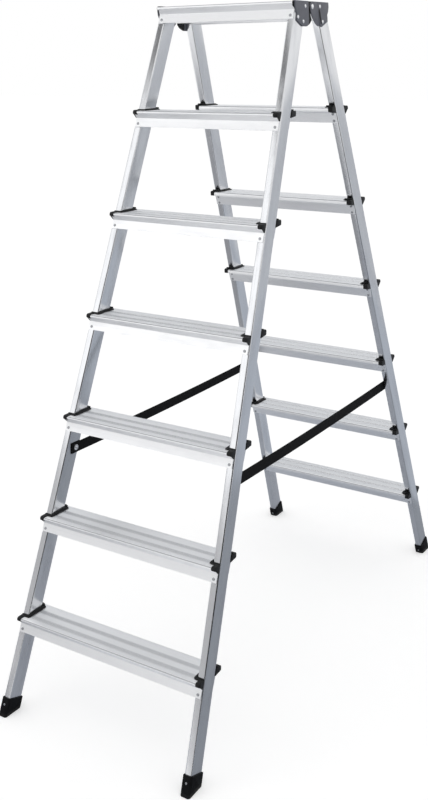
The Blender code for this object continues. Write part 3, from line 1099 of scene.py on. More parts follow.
@dataclass
class Assembly:
    """What every sub-assembly shares: its finishes and the way its pieces are placed."""

    finishes: Finishes

    def place(
        self, mesh: bpy.types.Mesh, flight: Flight, hand: Hand, at: Vector
    ) -> bpy.types.Mesh:
        """Copy a right-hand mesh of the front flight to its place.

        Args:
            mesh: The mesh, from its own origin.
            flight: The flight that it belongs to.
            hand: The hand of that flight.
            at: Where the origin lies on the front flight's right-hand side.

        Returns:
            The copy, in the ladder's frame.
        """
        copy = mesh.copy()
        copy.transform(Matrix.Translation(at))
        if hand is Hand.LEFT:
            copy = mirrored(copy)
        copy.transform(flight.turn)
        return copy

    def add(
        self,
        name: str,
        mesh: bpy.types.Mesh,
        material: bpy.types.Material,
        flight: Flight,
        slot: Slot,
        replaces: str | None = None,
    ) -> bpy.types.Object:
        """Add one piece that rides on a flight.

        Args:
            name: Name of the piece.
            mesh: Its mesh, in the ladder's frame.
            material: Its finish.
            flight: The flight that carries it.
            slot: The record's slot of its finish; not used.
            replaces: The node that it stands for, if any.

        Returns:
            The piece.
        """
        mesh.name = name
        mesh.materials.clear()
        mesh.materials.append(material)
        mesh.shade_smooth()
        mesh.set_sharp_from_angle(angle=SMOOTH_LIMIT)
        piece = bpy.data.objects.new(name, mesh)
        bpy.context.scene.collection.objects.link(piece)
        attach(piece, flight.body)
        if replaces:
            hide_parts(replaces)
        log.info("%s rides on %s, %d faces", name, flight.body, len(mesh.polygons))
        return piece


@dataclass(frozen=True)
class Dome:
    """Round head of a rivet or a pin, with a low upright rim and perhaps a hole."""

    radius: float
    height: float
    hole: float = 0.0
    rim: float = 0.25
    steps: int = 6
    step_angle: float = 15.0

    def profile(self, foot: float) -> Outline:
        """Outline of the head, for turning.

        Args:
            foot: Where the head starts along the axis.

        Returns:
            Pairs of a distance along the axis and a radius.
        """
        points = []
        for step in range(self.steps):
            angle = math.radians(self.step_angle * step)
            along = self.height * (self.rim + (1 - self.rim) * math.sin(angle))
            radius = self.hole + (self.radius - self.hole) * math.cos(angle)
            points.append((foot + along, radius))
        return points


@dataclass
class Rivet:
    """Blind rivet: a low dome with the mandrel's hole in its middle."""

    radius: float = 0.0032
    height: float = 0.0012
    hole: float = 0.0009
    hole_depth: float = 0.0008
    segments: int = 20

    def mesh(self, seat: Vector, out: Vector) -> bpy.types.Mesh:
        """Build one rivet head.

        Args:
            seat: Point of the surface under the head.
            out: Direction out of the surface.

        Returns:
            The head.
        """
        profile = [(-FIT_GAP, self.radius)]
        profile += Dome(self.radius, self.height, self.hole).profile(0.0)
        floor = self.height - self.hole_depth
        profile += [(self.height, self.hole), (floor, self.hole * TAPER)]
        return turned("rivet", profile, seat, out, self.segments)


@dataclass
class Stiles(Assembly):
    """The four drawn tubes."""

    corner: float = 0.003
    wall: float = 0.0016
    corner_segments: int = 7

    def mesh(self) -> bpy.types.Mesh:
        """Build the right-hand tube of the front flight.

        Returns:
            The tube, from its axis at the floor.
        """
        node = frame["nodes"]["front_right_stile"]
        origin = FORM.stile_point(0)
        foot = min((vertex.co - origin).dot(FORM.axis) for vertex in node.data.vertices)
        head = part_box("front_right_stile")[1].z
        outer = rounded_rectangle(
            FORM.half_width, FORM.half_depth, self.corner, self.corner_segments
        )
        inner = inset(outer, self.wall)
        rings = [
            [FORM.square_point(a, d, foot) for a, d in outer],
            [FORM.section_point(a, d, head) for a, d in outer],
            [FORM.section_point(a, d, head) for a, d in inner],
            [FORM.square_point(a, d, foot) for a, d in inner],
        ]
        mesh = loft("stile", rings, closed=True)
        return lay_grain(mesh, axes_of(FORM.axis, FORM.cross))

    def build(self) -> None:
        """Place a tube at each corner of the ladder."""
        mesh = self.mesh()
        for flight, hand, corner in corners():
            node = f"{corner}_stile"
            placed = self.place(mesh, flight, hand, FORM.stile_point(0))
            self.add(f"{node}_tube", placed, self.finishes.stile, flight, Slot.STILE, node)


@dataclass
class Treads(Assembly):
    """The treads and their rivets: ribbed channels with a nose, a back lip and two aprons."""

    back_overhang: float = 0.0182
    wall: float = 0.002
    nose_height: float = 0.0065
    slope_drop: float = 0.016
    apron_drop: float = 0.034
    apron_inset: float = 0.0005
    back_lip: float = 0.0095
    back_slope_drop: float = 0.012
    nose_segments: int = 12
    edge_radius: float = 0.0024
    edge_segments: int = 5
    fillet_radius: float = 0.0012
    zone_places: tuple[float, float] = (-0.019, 0.0095)
    zone_width: float = 0.018
    ribs_per_zone: int = 9
    rib_depth: float = 0.0004
    rib_points: int = 6
    knob_start: float = -0.0014
    knob_drop: float = 0.0083
    plate_start: float = 0.0066
    hinge_start: float = 0.0035
    liner_reach: float = 0.0056
    liner_back: float = 0.0072
    cut_margin: float = 0.02
    front_rivet_drop: float = 0.0275
    back_rivet_drops: tuple[float, float] = (0.0145, 0.0295)
    rivet_inset: float = 0.001
    rivet: Rivet = field(default_factory=Rivet)

    @property
    def nose_y(self) -> float:
        """y of the nose's tip from the stile's axis."""
        return -FORM.level_half_depth - FORM.nose_overhang

    @property
    def back_y(self) -> float:
        """y of the back lip from the stile's axis."""
        return FORM.level_half_depth + self.back_overhang

    @property
    def apron_offset(self) -> float:
        """Level distance from the stile's face to the apron's outer face."""
        return (FIT_GAP + self.wall) / math.cos(FORM.lean)

    def top_profile(self) -> Outline:
        """Ribs of the tread's top, from the nose to the back, deepest in the middle of each zone.

        Returns:
            The profile as (y, z) pairs.
        """
        profile = []
        steps = self.ribs_per_zone * self.rib_points
        for centre in self.zone_places:
            for step in range(steps + 1):
                share = step / steps
                wave = (1 - math.cos(math.tau * share * self.ribs_per_zone)) / 2
                depth = self.rib_depth * math.sin(math.pi * share)
                profile.append((centre + (share - 0.5) * self.zone_width, -depth * wave))
        return profile

    def section(self) -> Outline:
        """Closed section of the tread.

        Returns:
            The outline as (y, z) pairs from the stile's axis at the tread's top.
        """
        nose = self.nose_height / 2
        edge = self.edge_radius
        front = [
            (FORM.front_face(-self.apron_drop) - self.apron_offset, -self.apron_drop),
            (FORM.front_face(-self.slope_drop) - self.apron_offset, -self.slope_drop),
        ]
        front += arc((self.nose_y + nose, -nose), nose, 270, 90, self.nose_segments)
        back = arc((self.back_y - edge, -edge), edge, 90, 0, self.edge_segments)
        lip = (self.back_y - edge, edge - self.back_lip)
        back += arc(lip, edge, 0, -90, self.edge_segments)
        back += [
            (FORM.back_face(-self.back_slope_drop) + self.apron_offset, -self.back_slope_drop),
            (FORM.back_face(-self.apron_drop) + self.apron_offset, -self.apron_drop),
        ]
        inside = offset_path(front + back, self.wall)
        front = fillet(front, self.fillet_radius, closed=False)
        back = fillet(back, self.fillet_radius, closed=False)
        return front + self.top_profile() + back + inside[::-1]

    def notch(self, centre_x: float) -> bpy.types.Mesh:
        """Cutter for the opening that lets the right-hand stile and its liner through.

        Args:
            centre_x: x of the stile's axis at the tread's top.

        Returns:
            The cutter.
        """
        inner = -FORM.half_width - self.liner_reach
        outer = FORM.half_width + self.cut_margin
        front = -FORM.half_depth - self.liner_reach
        back = FORM.half_depth + self.liner_back
        plan = ((inner, front), (outer, front), (outer, back), (inner, back))
        shift = Vector((centre_x, 0, 0))
        rings = []
        for level in (-self.wall - self.rib_depth, self.wall):
            rings.append([FORM.section_point(a, d, level) + shift for a, d in plan])
        return loft("notch", rings)

    def end_cutters(self, number: int, centre_x: float) -> list[bpy.types.Mesh]:
        """Cutters that make room for the cap or the hinge at the right-hand end.

        Args:
            number: The tread's number.
            centre_x: x of the stile's axis at the tread's top.

        Returns:
            The cutters.
        """
        nose = self.nose_y - self.cut_margin
        back = self.back_y + self.cut_margin
        middle = FORM.level_half_depth / 2
        if number < FORM.tread_count:
            spaces = (
                (self.knob_start, nose, -middle, self.knob_drop),
                (self.plate_start, nose, -middle, self.slope_drop),
                (self.knob_start, middle, back, self.back_slope_drop),
            )
        else:
            start = FORM.back_face(0) + FIT_GAP
            spaces = ((self.hinge_start, start, back, self.back_slope_drop),)
        ends = []
        for across, y_low, y_high, drop in spaces:
            section = (
                (y_low, -drop),
                (y_high, -drop),
                (y_high, self.cut_margin),
                (y_low, self.cut_margin),
            )
            outer = centre_x + FORM.half_width + self.cut_margin
            ends.append(bar("end", section, (centre_x + across, outer)))
        return ends

    def mesh(self, number: int) -> bpy.types.Mesh:
        """Build a tread of the front flight.

        Args:
            number: Its number, from 1 at the bottom.

        Returns:
            The tread, from the middle of its top over the stiles' axes.
        """
        centre_x = FORM.stile_point(FORM.tread_top(number)).x
        half_length = centre_x + FORM.half_width - self.apron_inset
        body = bar("tread", self.section(), (-half_length, half_length))
        tools = self.end_cutters(number, centre_x)
        if number < FORM.tread_count:
            tools.append(self.notch(centre_x))
        mesh = combine(body, tools + [mirrored(tool) for tool in tools], Cut.REMOVE)
        return lay_grain(mesh)

    def rivets(self, number: int) -> bpy.types.Mesh:
        """Build the rivets of a tread of the front flight.

        Args:
            number: The tread's number.

        Returns:
            The rivet heads, from the middle of the tread's top.
        """
        heads = []
        drops = [(self.front_rivet_drop, -1)] + [(drop, 1) for drop in self.back_rivet_drops]
        for drop, facing in drops:
            face = FORM.front_face(-drop) if facing < 0 else FORM.back_face(-drop)
            x = FORM.stile_point(FORM.tread_top(number) - drop).x - self.rivet_inset
            seat = Vector((x, face + facing * self.apron_offset, -drop))
            heads.append(self.rivet.mesh(seat, FORM.normal * facing))
        mesh = gathered("rivets", heads + [mirrored(head) for head in heads])
        return lay_grain(mesh)

    def build(self) -> None:
        """Place the treads and their rivets on both flights."""
        for number in range(1, FORM.tread_count + 1):
            mesh = self.mesh(number)
            rivets = self.rivets(number)
            at = FORM.stile_point(FORM.tread_top(number)) * Vector((0, 1, 1))
            for flight in Flight:
                node = f"{flight.value}_tread_{number}"
                placed = self.place(mesh, flight, Hand.RIGHT, at)
                self.add(f"{node}_channel", placed, self.finishes.tread, flight, Slot.TREAD, node)
                heads = self.place(rivets, flight, Hand.RIGHT, at)
                self.add(f"{node}_rivets", heads, self.finishes.steel, flight, Slot.STEEL)


@dataclass
class EndCaps(Assembly):
    """The black mouldings that line each tread's notch and close its ends.

    Small fractions of an edge or an inset keep the joined solids from sharing a plane.
    """

    gap: float = 0.00045
    outer: float = 0.0086
    arm: float = -0.0017
    inner: float = -0.0155
    front: float = -0.026
    back: float = 0.0285
    arm_reach: float = 0.0345
    corner_radii: tuple[float, ...] = (0.001, 0.001, 0.004, 0.0065, 0.007, 0.002, 0.001, 0.001)
    liner_inset: float = 0.0016
    liner_foot: float = 0.0025
    liner_top: float = 0.001
    flange_foot: float = 0.00006
    flange_height: float = 0.0019
    rim_width: float = 0.0026
    rim_foot: float = 0.0009
    rim_height: float = 0.0033
    bead_width: float = 0.002
    bead_foot: float = 0.0011
    bead_height: float = 0.0026
    edge: float = 0.0007
    knob_end: float = 0.0090
    knob_top: float = 0.00205
    knob_drop: float = 0.0080
    knob_swell: float = 0.0008
    knob_edge: float = 0.0015
    knob_corner: float = 0.0022
    plate_start: float = 0.0069
    plate_end: float = 0.00915
    plate_top: float = 0.0016
    lip_top: float = 0.0023
    corner: float = 0.0016
    ridge_start: float = -0.010
    ridge_end: float = 0.0088
    ridge_front: float = 0.0245
    ridge_foot: float = 0.0007
    ridge_height: float = 0.0052
    ridge_edge: float = 0.00098
    foot_clear: float = 0.0003
    collar_segments: int = 5

    def inside(self, outer: float, clear: float) -> Outline:
        """Corners of the collar's inner side, which clears the stile.

        Args:
            outer: How far the collar's open ends reach.
            clear: Distance from the stile.

        Returns:
            The corners as pairs of across and depth.
        """
        wide = FORM.half_width + clear
        deep = FORM.half_depth + clear
        return [(outer, deep), (-wide, deep), (-wide, -deep), (outer, -deep)]

    def collar(self, shrink: float) -> Shape:
        """Plan of the flange: a collar round three sides of the stile, with an arm at each end.

        Args:
            shrink: How far its outside lies within the flange's.

        Returns:
            The outline as pairs of across and depth.
        """
        outer = self.outer - shrink / 4
        outside = [
            (outer, shrink - self.arm_reach),
            (self.arm + shrink / 2, shrink - self.arm_reach),
            (self.arm + shrink / 2, self.front + shrink),
            (self.inner + shrink, self.front + shrink),
            (self.inner + shrink, self.back - shrink),
            (self.arm + shrink / 2, self.back - shrink),
            (self.arm + shrink / 2, self.arm_reach - shrink),
            (outer, self.arm_reach - shrink),
        ]
        inside = self.inside(outer, self.gap + shrink / 8)
        radii = self.corner_radii + (self.edge,) * len(inside)
        return Shape(outside + inside, radii, self.collar_segments)

    def rim(self) -> Shape:
        """Plan of the raised rim beside the stile.

        Returns:
            The outline as pairs of across and depth.
        """
        outer = FORM.half_width - self.edge / 4
        wide = FORM.half_width + self.gap + self.rim_width
        deep = FORM.half_depth + self.gap + self.rim_width
        outside = [(outer, -deep), (-wide, -deep), (-wide, deep), (outer, deep)]
        radii = (self.edge, self.rim_width, self.rim_width) + (self.edge,) * 5
        return Shape(outside + self.inside(outer, self.gap + self.edge / 6), radii)

    def bead(self) -> Shape:
        """Plan of the bead along the flange's inner edge.

        Returns:
            The outline as pairs of across and depth.
        """
        low = self.inner + self.edge
        high = low + self.bead_width
        reach = FORM.half_depth
        return Shape([(low, -reach), (high, -reach), (high, reach), (low, reach)], self.edge)

    def mesh(self, treads: Treads) -> bpy.types.Mesh:
        """Build the right-hand cap.

        Args:
            treads: The treads that it fits.

        Returns:
            The cap, from the stile's axis at the tread's top.
        """
        layers = [
            ("liner", self.collar(self.liner_inset), -self.liner_foot, self.liner_top, FIT_GAP),
            ("flange", self.collar(0.0), self.flange_foot, self.flange_height, self.edge),
            ("rim", self.rim(), self.rim_foot, self.rim_height, self.edge),
            ("bead", self.bead(), self.bead_foot, self.bead_height, self.edge),
        ]
        liner, *parts = [
            rounded_prism(name, shape, FORM.section_point, low, high, edge)
            for name, shape, low, high, edge in layers
        ]
        parts += [
            self.knob(treads),
            self.end_plate(treads),
            self.lip_plug(treads),
            self.ridge(),
        ]
        mesh = combine(liner, parts, Cut.JOIN)
        return lay_grain(mesh)

    def knob(self, treads: Treads) -> bpy.types.Mesh:
        """Build the knob that takes the nose's place in front of the stile.

        Args:
            treads: The treads that it fits.

        Returns:
            The knob.
        """
        tip = treads.nose_y - self.knob_swell
        crest = treads.nose_y + treads.nose_height / 3
        outline = [
            (FORM.front_face(self.knob_top) - self.gap, self.knob_top),
            (crest, self.knob_top),
            (tip, self.knob_top - treads.nose_height / 2),
            (tip, treads.nose_height / 3 - self.knob_drop),
            (crest, -self.knob_drop),
            (FORM.front_face(-self.knob_drop) - treads.apron_offset - self.gap, -self.knob_drop),
            (FORM.front_face(-treads.wall) - self.gap, -treads.wall),
        ]
        shape = Shape(outline, self.knob_corner)
        start = self.arm + self.edge / 4
        return rounded_prism("knob", shape, beside, start, self.knob_end, self.knob_edge)

    def end_plate(self, treads: Treads) -> bpy.types.Mesh:
        """Build the plate that closes the end of the slope under the nose.

        Args:
            treads: The treads that it fits.

        Returns:
            The plate.
        """
        foot = self.foot_clear - treads.slope_drop
        tip = treads.nose_y - self.knob_swell / 2
        outline = [
            (FORM.front_face(self.plate_top) - self.gap, self.plate_top),
            (treads.nose_y + treads.nose_height / 3, self.plate_top),
            (tip, -treads.nose_height / 4),
            (tip, self.knob_swell - treads.nose_height),
            (treads.nose_y + treads.nose_height / 3, -treads.nose_height - self.knob_swell),
            (FORM.front_face(foot) - treads.apron_offset, foot),
            (FORM.front_face(foot) - self.gap, foot),
        ]
        shape = Shape(outline, self.corner)
        return rounded_prism(
            "end_plate", shape, beside, self.plate_start, self.plate_end, self.edge
        )

    def lip_plug(self, treads: Treads) -> bpy.types.Mesh:
        """Build the block that closes the back lip's end.

        Args:
            treads: The treads that it fits.

        Returns:
            The block.
        """
        foot = self.foot_clear - treads.back_slope_drop
        outline = [
            (FORM.back_face(self.lip_top) + self.gap, self.lip_top),
            (treads.back_y - self.knob_swell, self.lip_top),
            (treads.back_y + self.knob_swell, -self.knob_swell),
            (treads.back_y, self.knob_swell - treads.back_lip),
            (treads.back_y - treads.edge_radius, -treads.back_lip),
            (FORM.back_face(foot) + treads.apron_offset, foot),
            (FORM.back_face(foot) + self.gap, foot),
        ]
        shape = Shape(outline, self.corner)
        start = self.arm + self.edge / 5
        return rounded_prism("lip_plug", shape, beside, start, self.plate_end, self.edge)

    def ridge(self) -> bpy.types.Mesh:
        """Build the raised bar along the collar's back arm.

        Returns:
            The bar.
        """
        back = self.back - self.edge / 2
        plan = [
            (self.ridge_start, self.ridge_front),
            (self.ridge_end, self.ridge_front),
            (self.ridge_end, back),
            (self.ridge_start, back),
        ]
        shape = Shape(plan, self.edge)
        return rounded_prism(
            "ridge", shape, FORM.section_point, self.ridge_foot, self.ridge_height, self.ridge_edge
        )

    def build(self, treads: Treads) -> None:
        """Place a cap at each end of every tread below the top.

        Args:
            treads: The treads that the caps fit.
        """
        mesh = self.mesh(treads)
        black, slot = self.finishes.black, Slot.BLACK_PLASTIC
        for flight, hand, corner in corners():
            for number in range(1, FORM.tread_count):
                node = f"{corner}_cap_{number}"
                at = FORM.stile_point(FORM.tread_top(number))
                placed = self.place(mesh, flight, hand, at)
                self.add(f"{node}_moulding", placed, black, flight, slot, node)


@dataclass
class Boots(Assembly):
    """The black boots on the stiles' feet, with grooved soles and a rivet front and back."""

    wall: float = 0.0033
    height: float = 0.035
    sole: float = 0.005
    edge: float = 0.001
    corner: float = 0.0055
    corner_segments: int = 6
    rim_angles: tuple[float, ...] = (0, 45, 90)
    groove_pitch: float = 0.008
    groove_width: float = 0.0022
    groove_depth: float = 0.0014
    groove_count: int = 5
    rivet_along: float = 0.0198
    rivet: Rivet = field(default_factory=lambda: Rivet(radius=0.0025, height=0.001))

    def mesh(self) -> bpy.types.Mesh:
        """Build the right-hand boot.

        Returns:
            The boot, from the stile's axis at the floor.
        """
        shell, socket = (
            rounded_rectangle(
                FORM.half_width + gap, FORM.half_depth + gap, corner, self.corner_segments
            )
            for gap, corner in ((self.wall, self.corner), (FIT_GAP, self.corner / 2))
        )
        tilt = FORM.half_depth * math.sin(FORM.lean)
        floor = self.sole + tilt + FORM.half_width * math.sin(FORM.splay)
        rings = []
        for angle in map(math.radians, self.rim_angles):
            skin = inset(shell, self.edge * (1 - math.sin(angle)))
            level = self.edge * (1 - math.cos(angle))
            rings.append([FORM.section_point(a, d, level) for a, d in skin])
        for angle in map(math.radians, reversed(self.rim_angles)):
            skin = inset(shell, self.edge * (1 - math.sin(angle)))
            along = self.height - self.edge * (1 - math.cos(angle))
            rings.append([FORM.square_point(a, d, along) for a, d in skin])
        for along in (self.height, floor / FORM.axis.z):
            rings.append([FORM.square_point(a, d, along) for a, d in socket])
        body = loft("boot", rings)
        mesh = combine(body, self.sole_grooves(), Cut.REMOVE)
        return lay_grain(mesh)

    def sole_grooves(self) -> list[bpy.types.Mesh]:
        """Build the cutters for the grooves across the sole.

        Returns:
            The cutters.
        """
        cutters = []
        reach = FORM.stile_width
        half = self.groove_width / 2
        for index in range(self.groove_count):
            y = (index - (self.groove_count - 1) / 2) * self.groove_pitch
            section = (
                (y - half, -half),
                (y + half, -half),
                (y + half / 2, self.groove_depth),
                (y - half / 2, self.groove_depth),
            )
            cutters.append(bar("groove", section, (-reach, reach)))
        return cutters

    def rivets(self) -> bpy.types.Mesh:
        """Build the right-hand boot's two rivets.

        Returns:
            The rivet heads, from the stile's axis at the floor.
        """
        heads = []
        for facing in (-1, 1):
            seat = FORM.square_point(0, facing * (FORM.half_depth + self.wall), self.rivet_along)
            heads.append(self.rivet.mesh(seat, FORM.normal * facing))
        mesh = gathered("rivets", heads)
        return lay_grain(mesh)

    def build(self) -> None:
        """Place a boot and its rivets under each stile."""
        mesh = self.mesh()
        rivets = self.rivets()
        rubber, steel = self.finishes.rubber, self.finishes.steel
        for flight, hand, corner in corners():
            node = f"{corner}_foot"
            placed = self.place(mesh, flight, hand, FORM.stile_point(0))
            self.add(f"{node}_boot", placed, rubber, flight, Slot.BLACK_PLASTIC, node)
            heads = self.place(rivets, flight, hand, FORM.stile_point(0))
            self.add(f"{node}_rivets", heads, steel, flight, Slot.STEEL)


@dataclass
class Hinges(Assembly):
    """The brackets on the stiles' heads, with their wings, painted shade strips, rivets and pins.

    The end caps of the top treads' noses belong to them.
    Outlines are pairs of y and level from the pivot, in metres.
    """

    face: float = 0.0114
    back_of_plate: float = 0.0089
    front_edge: tuple[tuple[float, float], ...] = (
        (-0.0746, 0.0106),
        (-0.0752, 0.0),
        (-0.0728, -0.0090),
        (-0.0686, -0.0150),
        (-0.0695, -0.0200),
        (-0.0695, -0.0290),
        (-0.0440, -0.0400),
    )
    front_edge_radii: tuple[float, ...] = (0.0015, 0.003, 0.003, 0.002, 0.002, 0.002, 0.003)
    plate_segments: int = 5
    seam: float = -0.0150
    seam_corner: float = 0.012
    top: float = 0.0106
    foot: float = -0.0400
    plate_edge: float = 0.0012
    wing_inner: float = 0.0039
    wing_outer: float = 0.0087
    wing_root: float = -0.0195
    wing_edge: tuple[tuple[float, float], ...] = (
        (-0.0010, -0.0140),
        (-0.0017, -0.0190),
        (0.0045, -0.0252),
        (0.0005, -0.0310),
        (-0.0060, -0.0355),
        (-0.0170, -0.0396),
    )
    wing_segments: int = 5
    wing_disc: tuple[float, float, int] = (-50, 90, 14)
    disc_radius: float = 0.0104
    root_inner: float = 0.0043
    root_outer: float = 0.0086
    root_width: float = 0.0037
    pad_inner: float = 0.0083
    pad_outer: float = 0.0110
    pad_floor: float = 0.0092
    pad_edge: float = -0.0126
    pad_foot: float = -0.0235
    pad_clear: float = 0.0110
    pad_hollow_end: float = 190
    pad_hollow_segments: int = 8
    sheet_edge: tuple[tuple[float, float], ...] = (
        (-0.00832, -0.005),
        (-0.003, -0.0145),
        (-0.0014, -0.0195),
        (0.0010, -0.0245),
        (-0.0035, -0.0265),
    )
    leaf_inner: float = 0.0095
    leaf_outer: float = 0.0116
    leaf_edge: tuple[tuple[float, float], ...] = (
        (0.0088, 0.0010),
        (0.0073, -0.0050),
        (0.0026, -0.0154),
        (-0.0075, -0.0265),
        (-0.0193, -0.0349),
        (-0.0293, -0.0387),
    )
    leaf_segments: int = 6
    leaf_disc: tuple[float, float, int] = (90, 12, 10)
    ridge_overlap: float = 0.0016
    ridge_root: float = 0.0097
    ridge_outer: float = 0.0104
    painted_shade_strip_edge: tuple[tuple[float, float], ...] = (
        (-0.0290, -0.0045),
        (-0.0285, -0.0090),
        (-0.0310, -0.0195),
        (-0.0370, -0.0330),
        (-0.0415, -0.0355),
        (-0.0405, -0.0280),
        (-0.0385, -0.0195),
        (-0.0355, -0.0090),
        (-0.0335, -0.0045),
    )
    painted_shade_strip_proud: float = 0.0003
    cover_inner: float = 0.0040
    cover_end: float = -0.0200
    edge: float = 0.0007
    nose_cap_start: float = 0.0062
    nose_cap_end: float = 0.0088
    pin_radius: float = 0.003
    pin_head_radius: float = 0.0052
    pin_head: float = 0.0016
    pin_head_rim: float = 0.3
    pin_head_steps: int = 7
    pin_head_angle: float = 14
    pin_flare_radius: float = 0.0042
    pin_flare: float = 0.0014
    pin_segments: int = 32
    rivet: Rivet = field(default_factory=lambda: Rivet(radius=0.0038))
    seam_rivets: tuple[tuple[float, float], ...] = (
        (-0.0309, 0.0),
        (-0.0651, -0.0219),
        (-0.0420, -0.0304),
    )
    leaf_rivets: tuple[tuple[float, float], ...] = ((-0.0348, 0.0013), (-0.0457, -0.0294))

    @cached_property
    def pivot(self) -> Vector:
        """The hinge's axis, from the right-hand stile's axis at the top treads."""
        head = FORM.stile_point(FORM.tread_top(FORM.tread_count))
        return Vector((0, -head.y, frame["joints"][0]["pos_m"][2] - head.z))

    def side(self, y: float, level: float, across: float) -> Vector:
        """Point of an outline round the pivot, on a plane parallel to the stile's side."""
        return FORM.side_point(self.pivot.y + y, self.pivot.z + level, across)

    def upright(self, y: float, level: float, x: float) -> Vector:
        """Point of an outline round the pivot, on a plane square to the hinge's axis."""
        return beside(self.pivot.y + y, self.pivot.z + level, x)

    def level(self, x: float, y: float, height: float) -> Vector:
        """Point of a plan behind the pivot, at a height above the tread's top."""
        return Vector((x, self.pivot.y + y, height))

    def stile_back(self, level: float) -> float:
        """y of the stile's back face from the pivot, at a level from the pivot."""
        return FORM.back_face(self.pivot.z + level) - self.pivot.y

    def plate(self, back_edge: Outline, back_radii: Sequence[float]) -> bpy.types.Mesh:
        """Build the plate that lies on the stile's outer side.

        Args:
            back_edge: Its corners behind the stile, from the foot up.
            back_radii: Their radii.

        Returns:
            The plate.
        """
        radii = self.front_edge_radii + tuple(back_radii)
        shape = Shape(list(self.front_edge) + back_edge, radii, self.plate_segments)
        return crowned_prism(
            "plate", shape, self.side, self.back_of_plate, self.face, self.plate_edge
        )

    def root(self, outline: Outline, inner: float, outer: float) -> bpy.types.Mesh:
        """Build a block between an upright plane and one parallel to the stile's side.

        Args:
            outline: Its outline round the pivot.
            inner: x of its upright inner face from the stile's axis.
            outer: Where its outer face lies across the stile.

        Returns:
            The block.
        """
        rings = [
            [self.upright(y, level, inner) for y, level in outline],
            [self.side(y, level, outer) for y, level in outline],
        ]
        return loft("root", rings)

    def pin_hole(self, radius: float) -> bpy.types.Mesh:
        """Build the cutter for the pin's hole.

        Args:
            radius: Radius of the hole.

        Returns:
            The cutter.
        """
        reach = FORM.stile_width
        profile = [(-reach, radius), (2 * reach, radius)]
        return turned("hole", profile, self.pivot, Vector((1, 0, 0)))

    def seam_bracket(self) -> bpy.types.Mesh:
        """Build the bracket of a flight's right-hand stile, which the wing lies behind.

        Returns:
            The bracket, from the stile's axis at the tread's top.
        """
        seam = [(self.seam, self.foot), (self.seam, self.top)]
        mesh = self.plate(seam, (self.seam_corner, self.edge))
        return lay_grain(mesh)

    def leaf_bracket(self) -> bpy.types.Mesh:
        """Build the bracket of a flight's left-hand stile, right-handed.

        Its leaf is on the hinge's outer side.

        Returns:
            The bracket, from the stile's axis at the tread's top.
        """
        ends = (self.foot, self.top)
        ridge = [(self.stile_back(level) + self.ridge_overlap, level) for level in ends]
        plate = self.plate(ridge, (self.edge, self.edge))
        clear = FIT_GAP / math.cos(FORM.lean)
        disc = arc((0.0, 0.0), self.disc_radius, *self.leaf_disc)
        low = self.leaf_edge[-1][1]
        high = self.top - self.edge / 2
        heel = [(self.stile_back(level) + clear, level) for level in (low, high)]
        shape = Shape(disc + spline(self.leaf_edge, self.leaf_segments) + heel)
        leaf = rounded_prism(
            "leaf", shape, self.upright, self.leaf_inner, self.leaf_outer, self.edge
        )
        block = [
            (self.stile_back(low) + 2 * clear, low + self.edge),
            (self.stile_back(low) + self.ridge_overlap - FIT_GAP, low + self.edge),
            (self.stile_back(high) + self.ridge_overlap - FIT_GAP, high - self.edge),
            (self.stile_back(high) + 2 * clear, high - self.edge),
        ]
        root = self.root(block, self.ridge_root, self.ridge_outer)
        whole = combine(plate, [leaf, root], Cut.JOIN)
        mesh = combine(whole, [self.pin_hole(self.pin_radius + FIT_GAP)], Cut.REMOVE)
        return lay_grain(mesh)

    def painted_shade_strip(self) -> bpy.types.Mesh:
        """Build the black strip inlaid in a leaf's plate, beside the leaf: painted shade for the
        dark band along the plate there.

        Returns:
            The strip, from the stile's axis at the tread's top.
        """
        low, high = self.face - self.edge, self.face + self.painted_shade_strip_proud
        shape = Shape(list(self.painted_shade_strip_edge), self.edge)
        mesh = rounded_prism("painted_shade_strip", shape, self.side, low, high, self.painted_shade_strip_proud / 2)
        return lay_grain(mesh)

    def pad(self) -> bpy.types.Mesh:
        """Build the pad that stops the other bracket's leaf, with its thin floor under that leaf.
        Both are black, partly as painted shade for the gap between the brackets.

        Returns:
            The pad.
        """
        start = self.seam - self.edge
        top = self.top - self.edge
        bend = math.degrees(math.asin(top / self.pad_clear))
        hollow = arc(
            (0.0, 0.0), self.pad_clear, 180 - bend, self.pad_hollow_end, self.pad_hollow_segments
        )
        block = [(start, top)] + hollow + [
            (self.pad_edge, -self.pad_clear / 2),
            (self.pad_edge, self.pad_foot + self.edge),
            (start, self.pad_foot),
        ]
        floor = [
            (start + FIT_GAP, top - FIT_GAP),
            (-self.disc_radius, top - FIT_GAP),
            *self.sheet_edge,
            (start + FIT_GAP, self.pad_foot + FIT_GAP),
        ]
        pad = rounded_prism(
            "pad", Shape(block), self.upright, self.pad_inner, self.pad_outer, self.edge / 2
        )
        shape = Shape(floor, self.edge)
        low = self.pad_inner + FIT_GAP
        sheet = rounded_prism("sheet", shape, self.upright, low, self.pad_floor, FIT_GAP / 2)
        return combine(pad, [sheet], Cut.JOIN)

    def wing(self) -> bpy.types.Mesh:
        """Build the black wing on the inner side of the hinge, with its root and its pad.

        Returns:
            The wing, from the stile's axis at the tread's top.
        """
        disc = arc((0.0, 0.0), self.disc_radius, *self.wing_disc)
        lower = spline(self.wing_edge, self.wing_segments)
        shape = Shape(lower + [(self.wing_root, self.top - self.edge)] + disc[::-1])
        wing = rounded_prism(
            "wing", shape, self.upright, self.wing_inner, self.wing_outer, self.edge
        )
        low = self.foot + self.seam_corner / 3
        block = [
            (self.wing_root + FIT_GAP, low),
            (self.wing_root + self.root_width, low + self.edge),
            (self.wing_root + self.root_width, self.top - self.plate_edge),
            (self.wing_root + FIT_GAP, self.top - self.plate_edge),
        ]
        parts = [self.root(block, self.root_inner, self.root_outer), self.pad()]
        whole = combine(wing, parts, Cut.JOIN)
        mesh = combine(whole, [self.pin_hole(self.pin_radius + FIT_GAP)], Cut.REMOVE)
        return lay_grain(mesh)

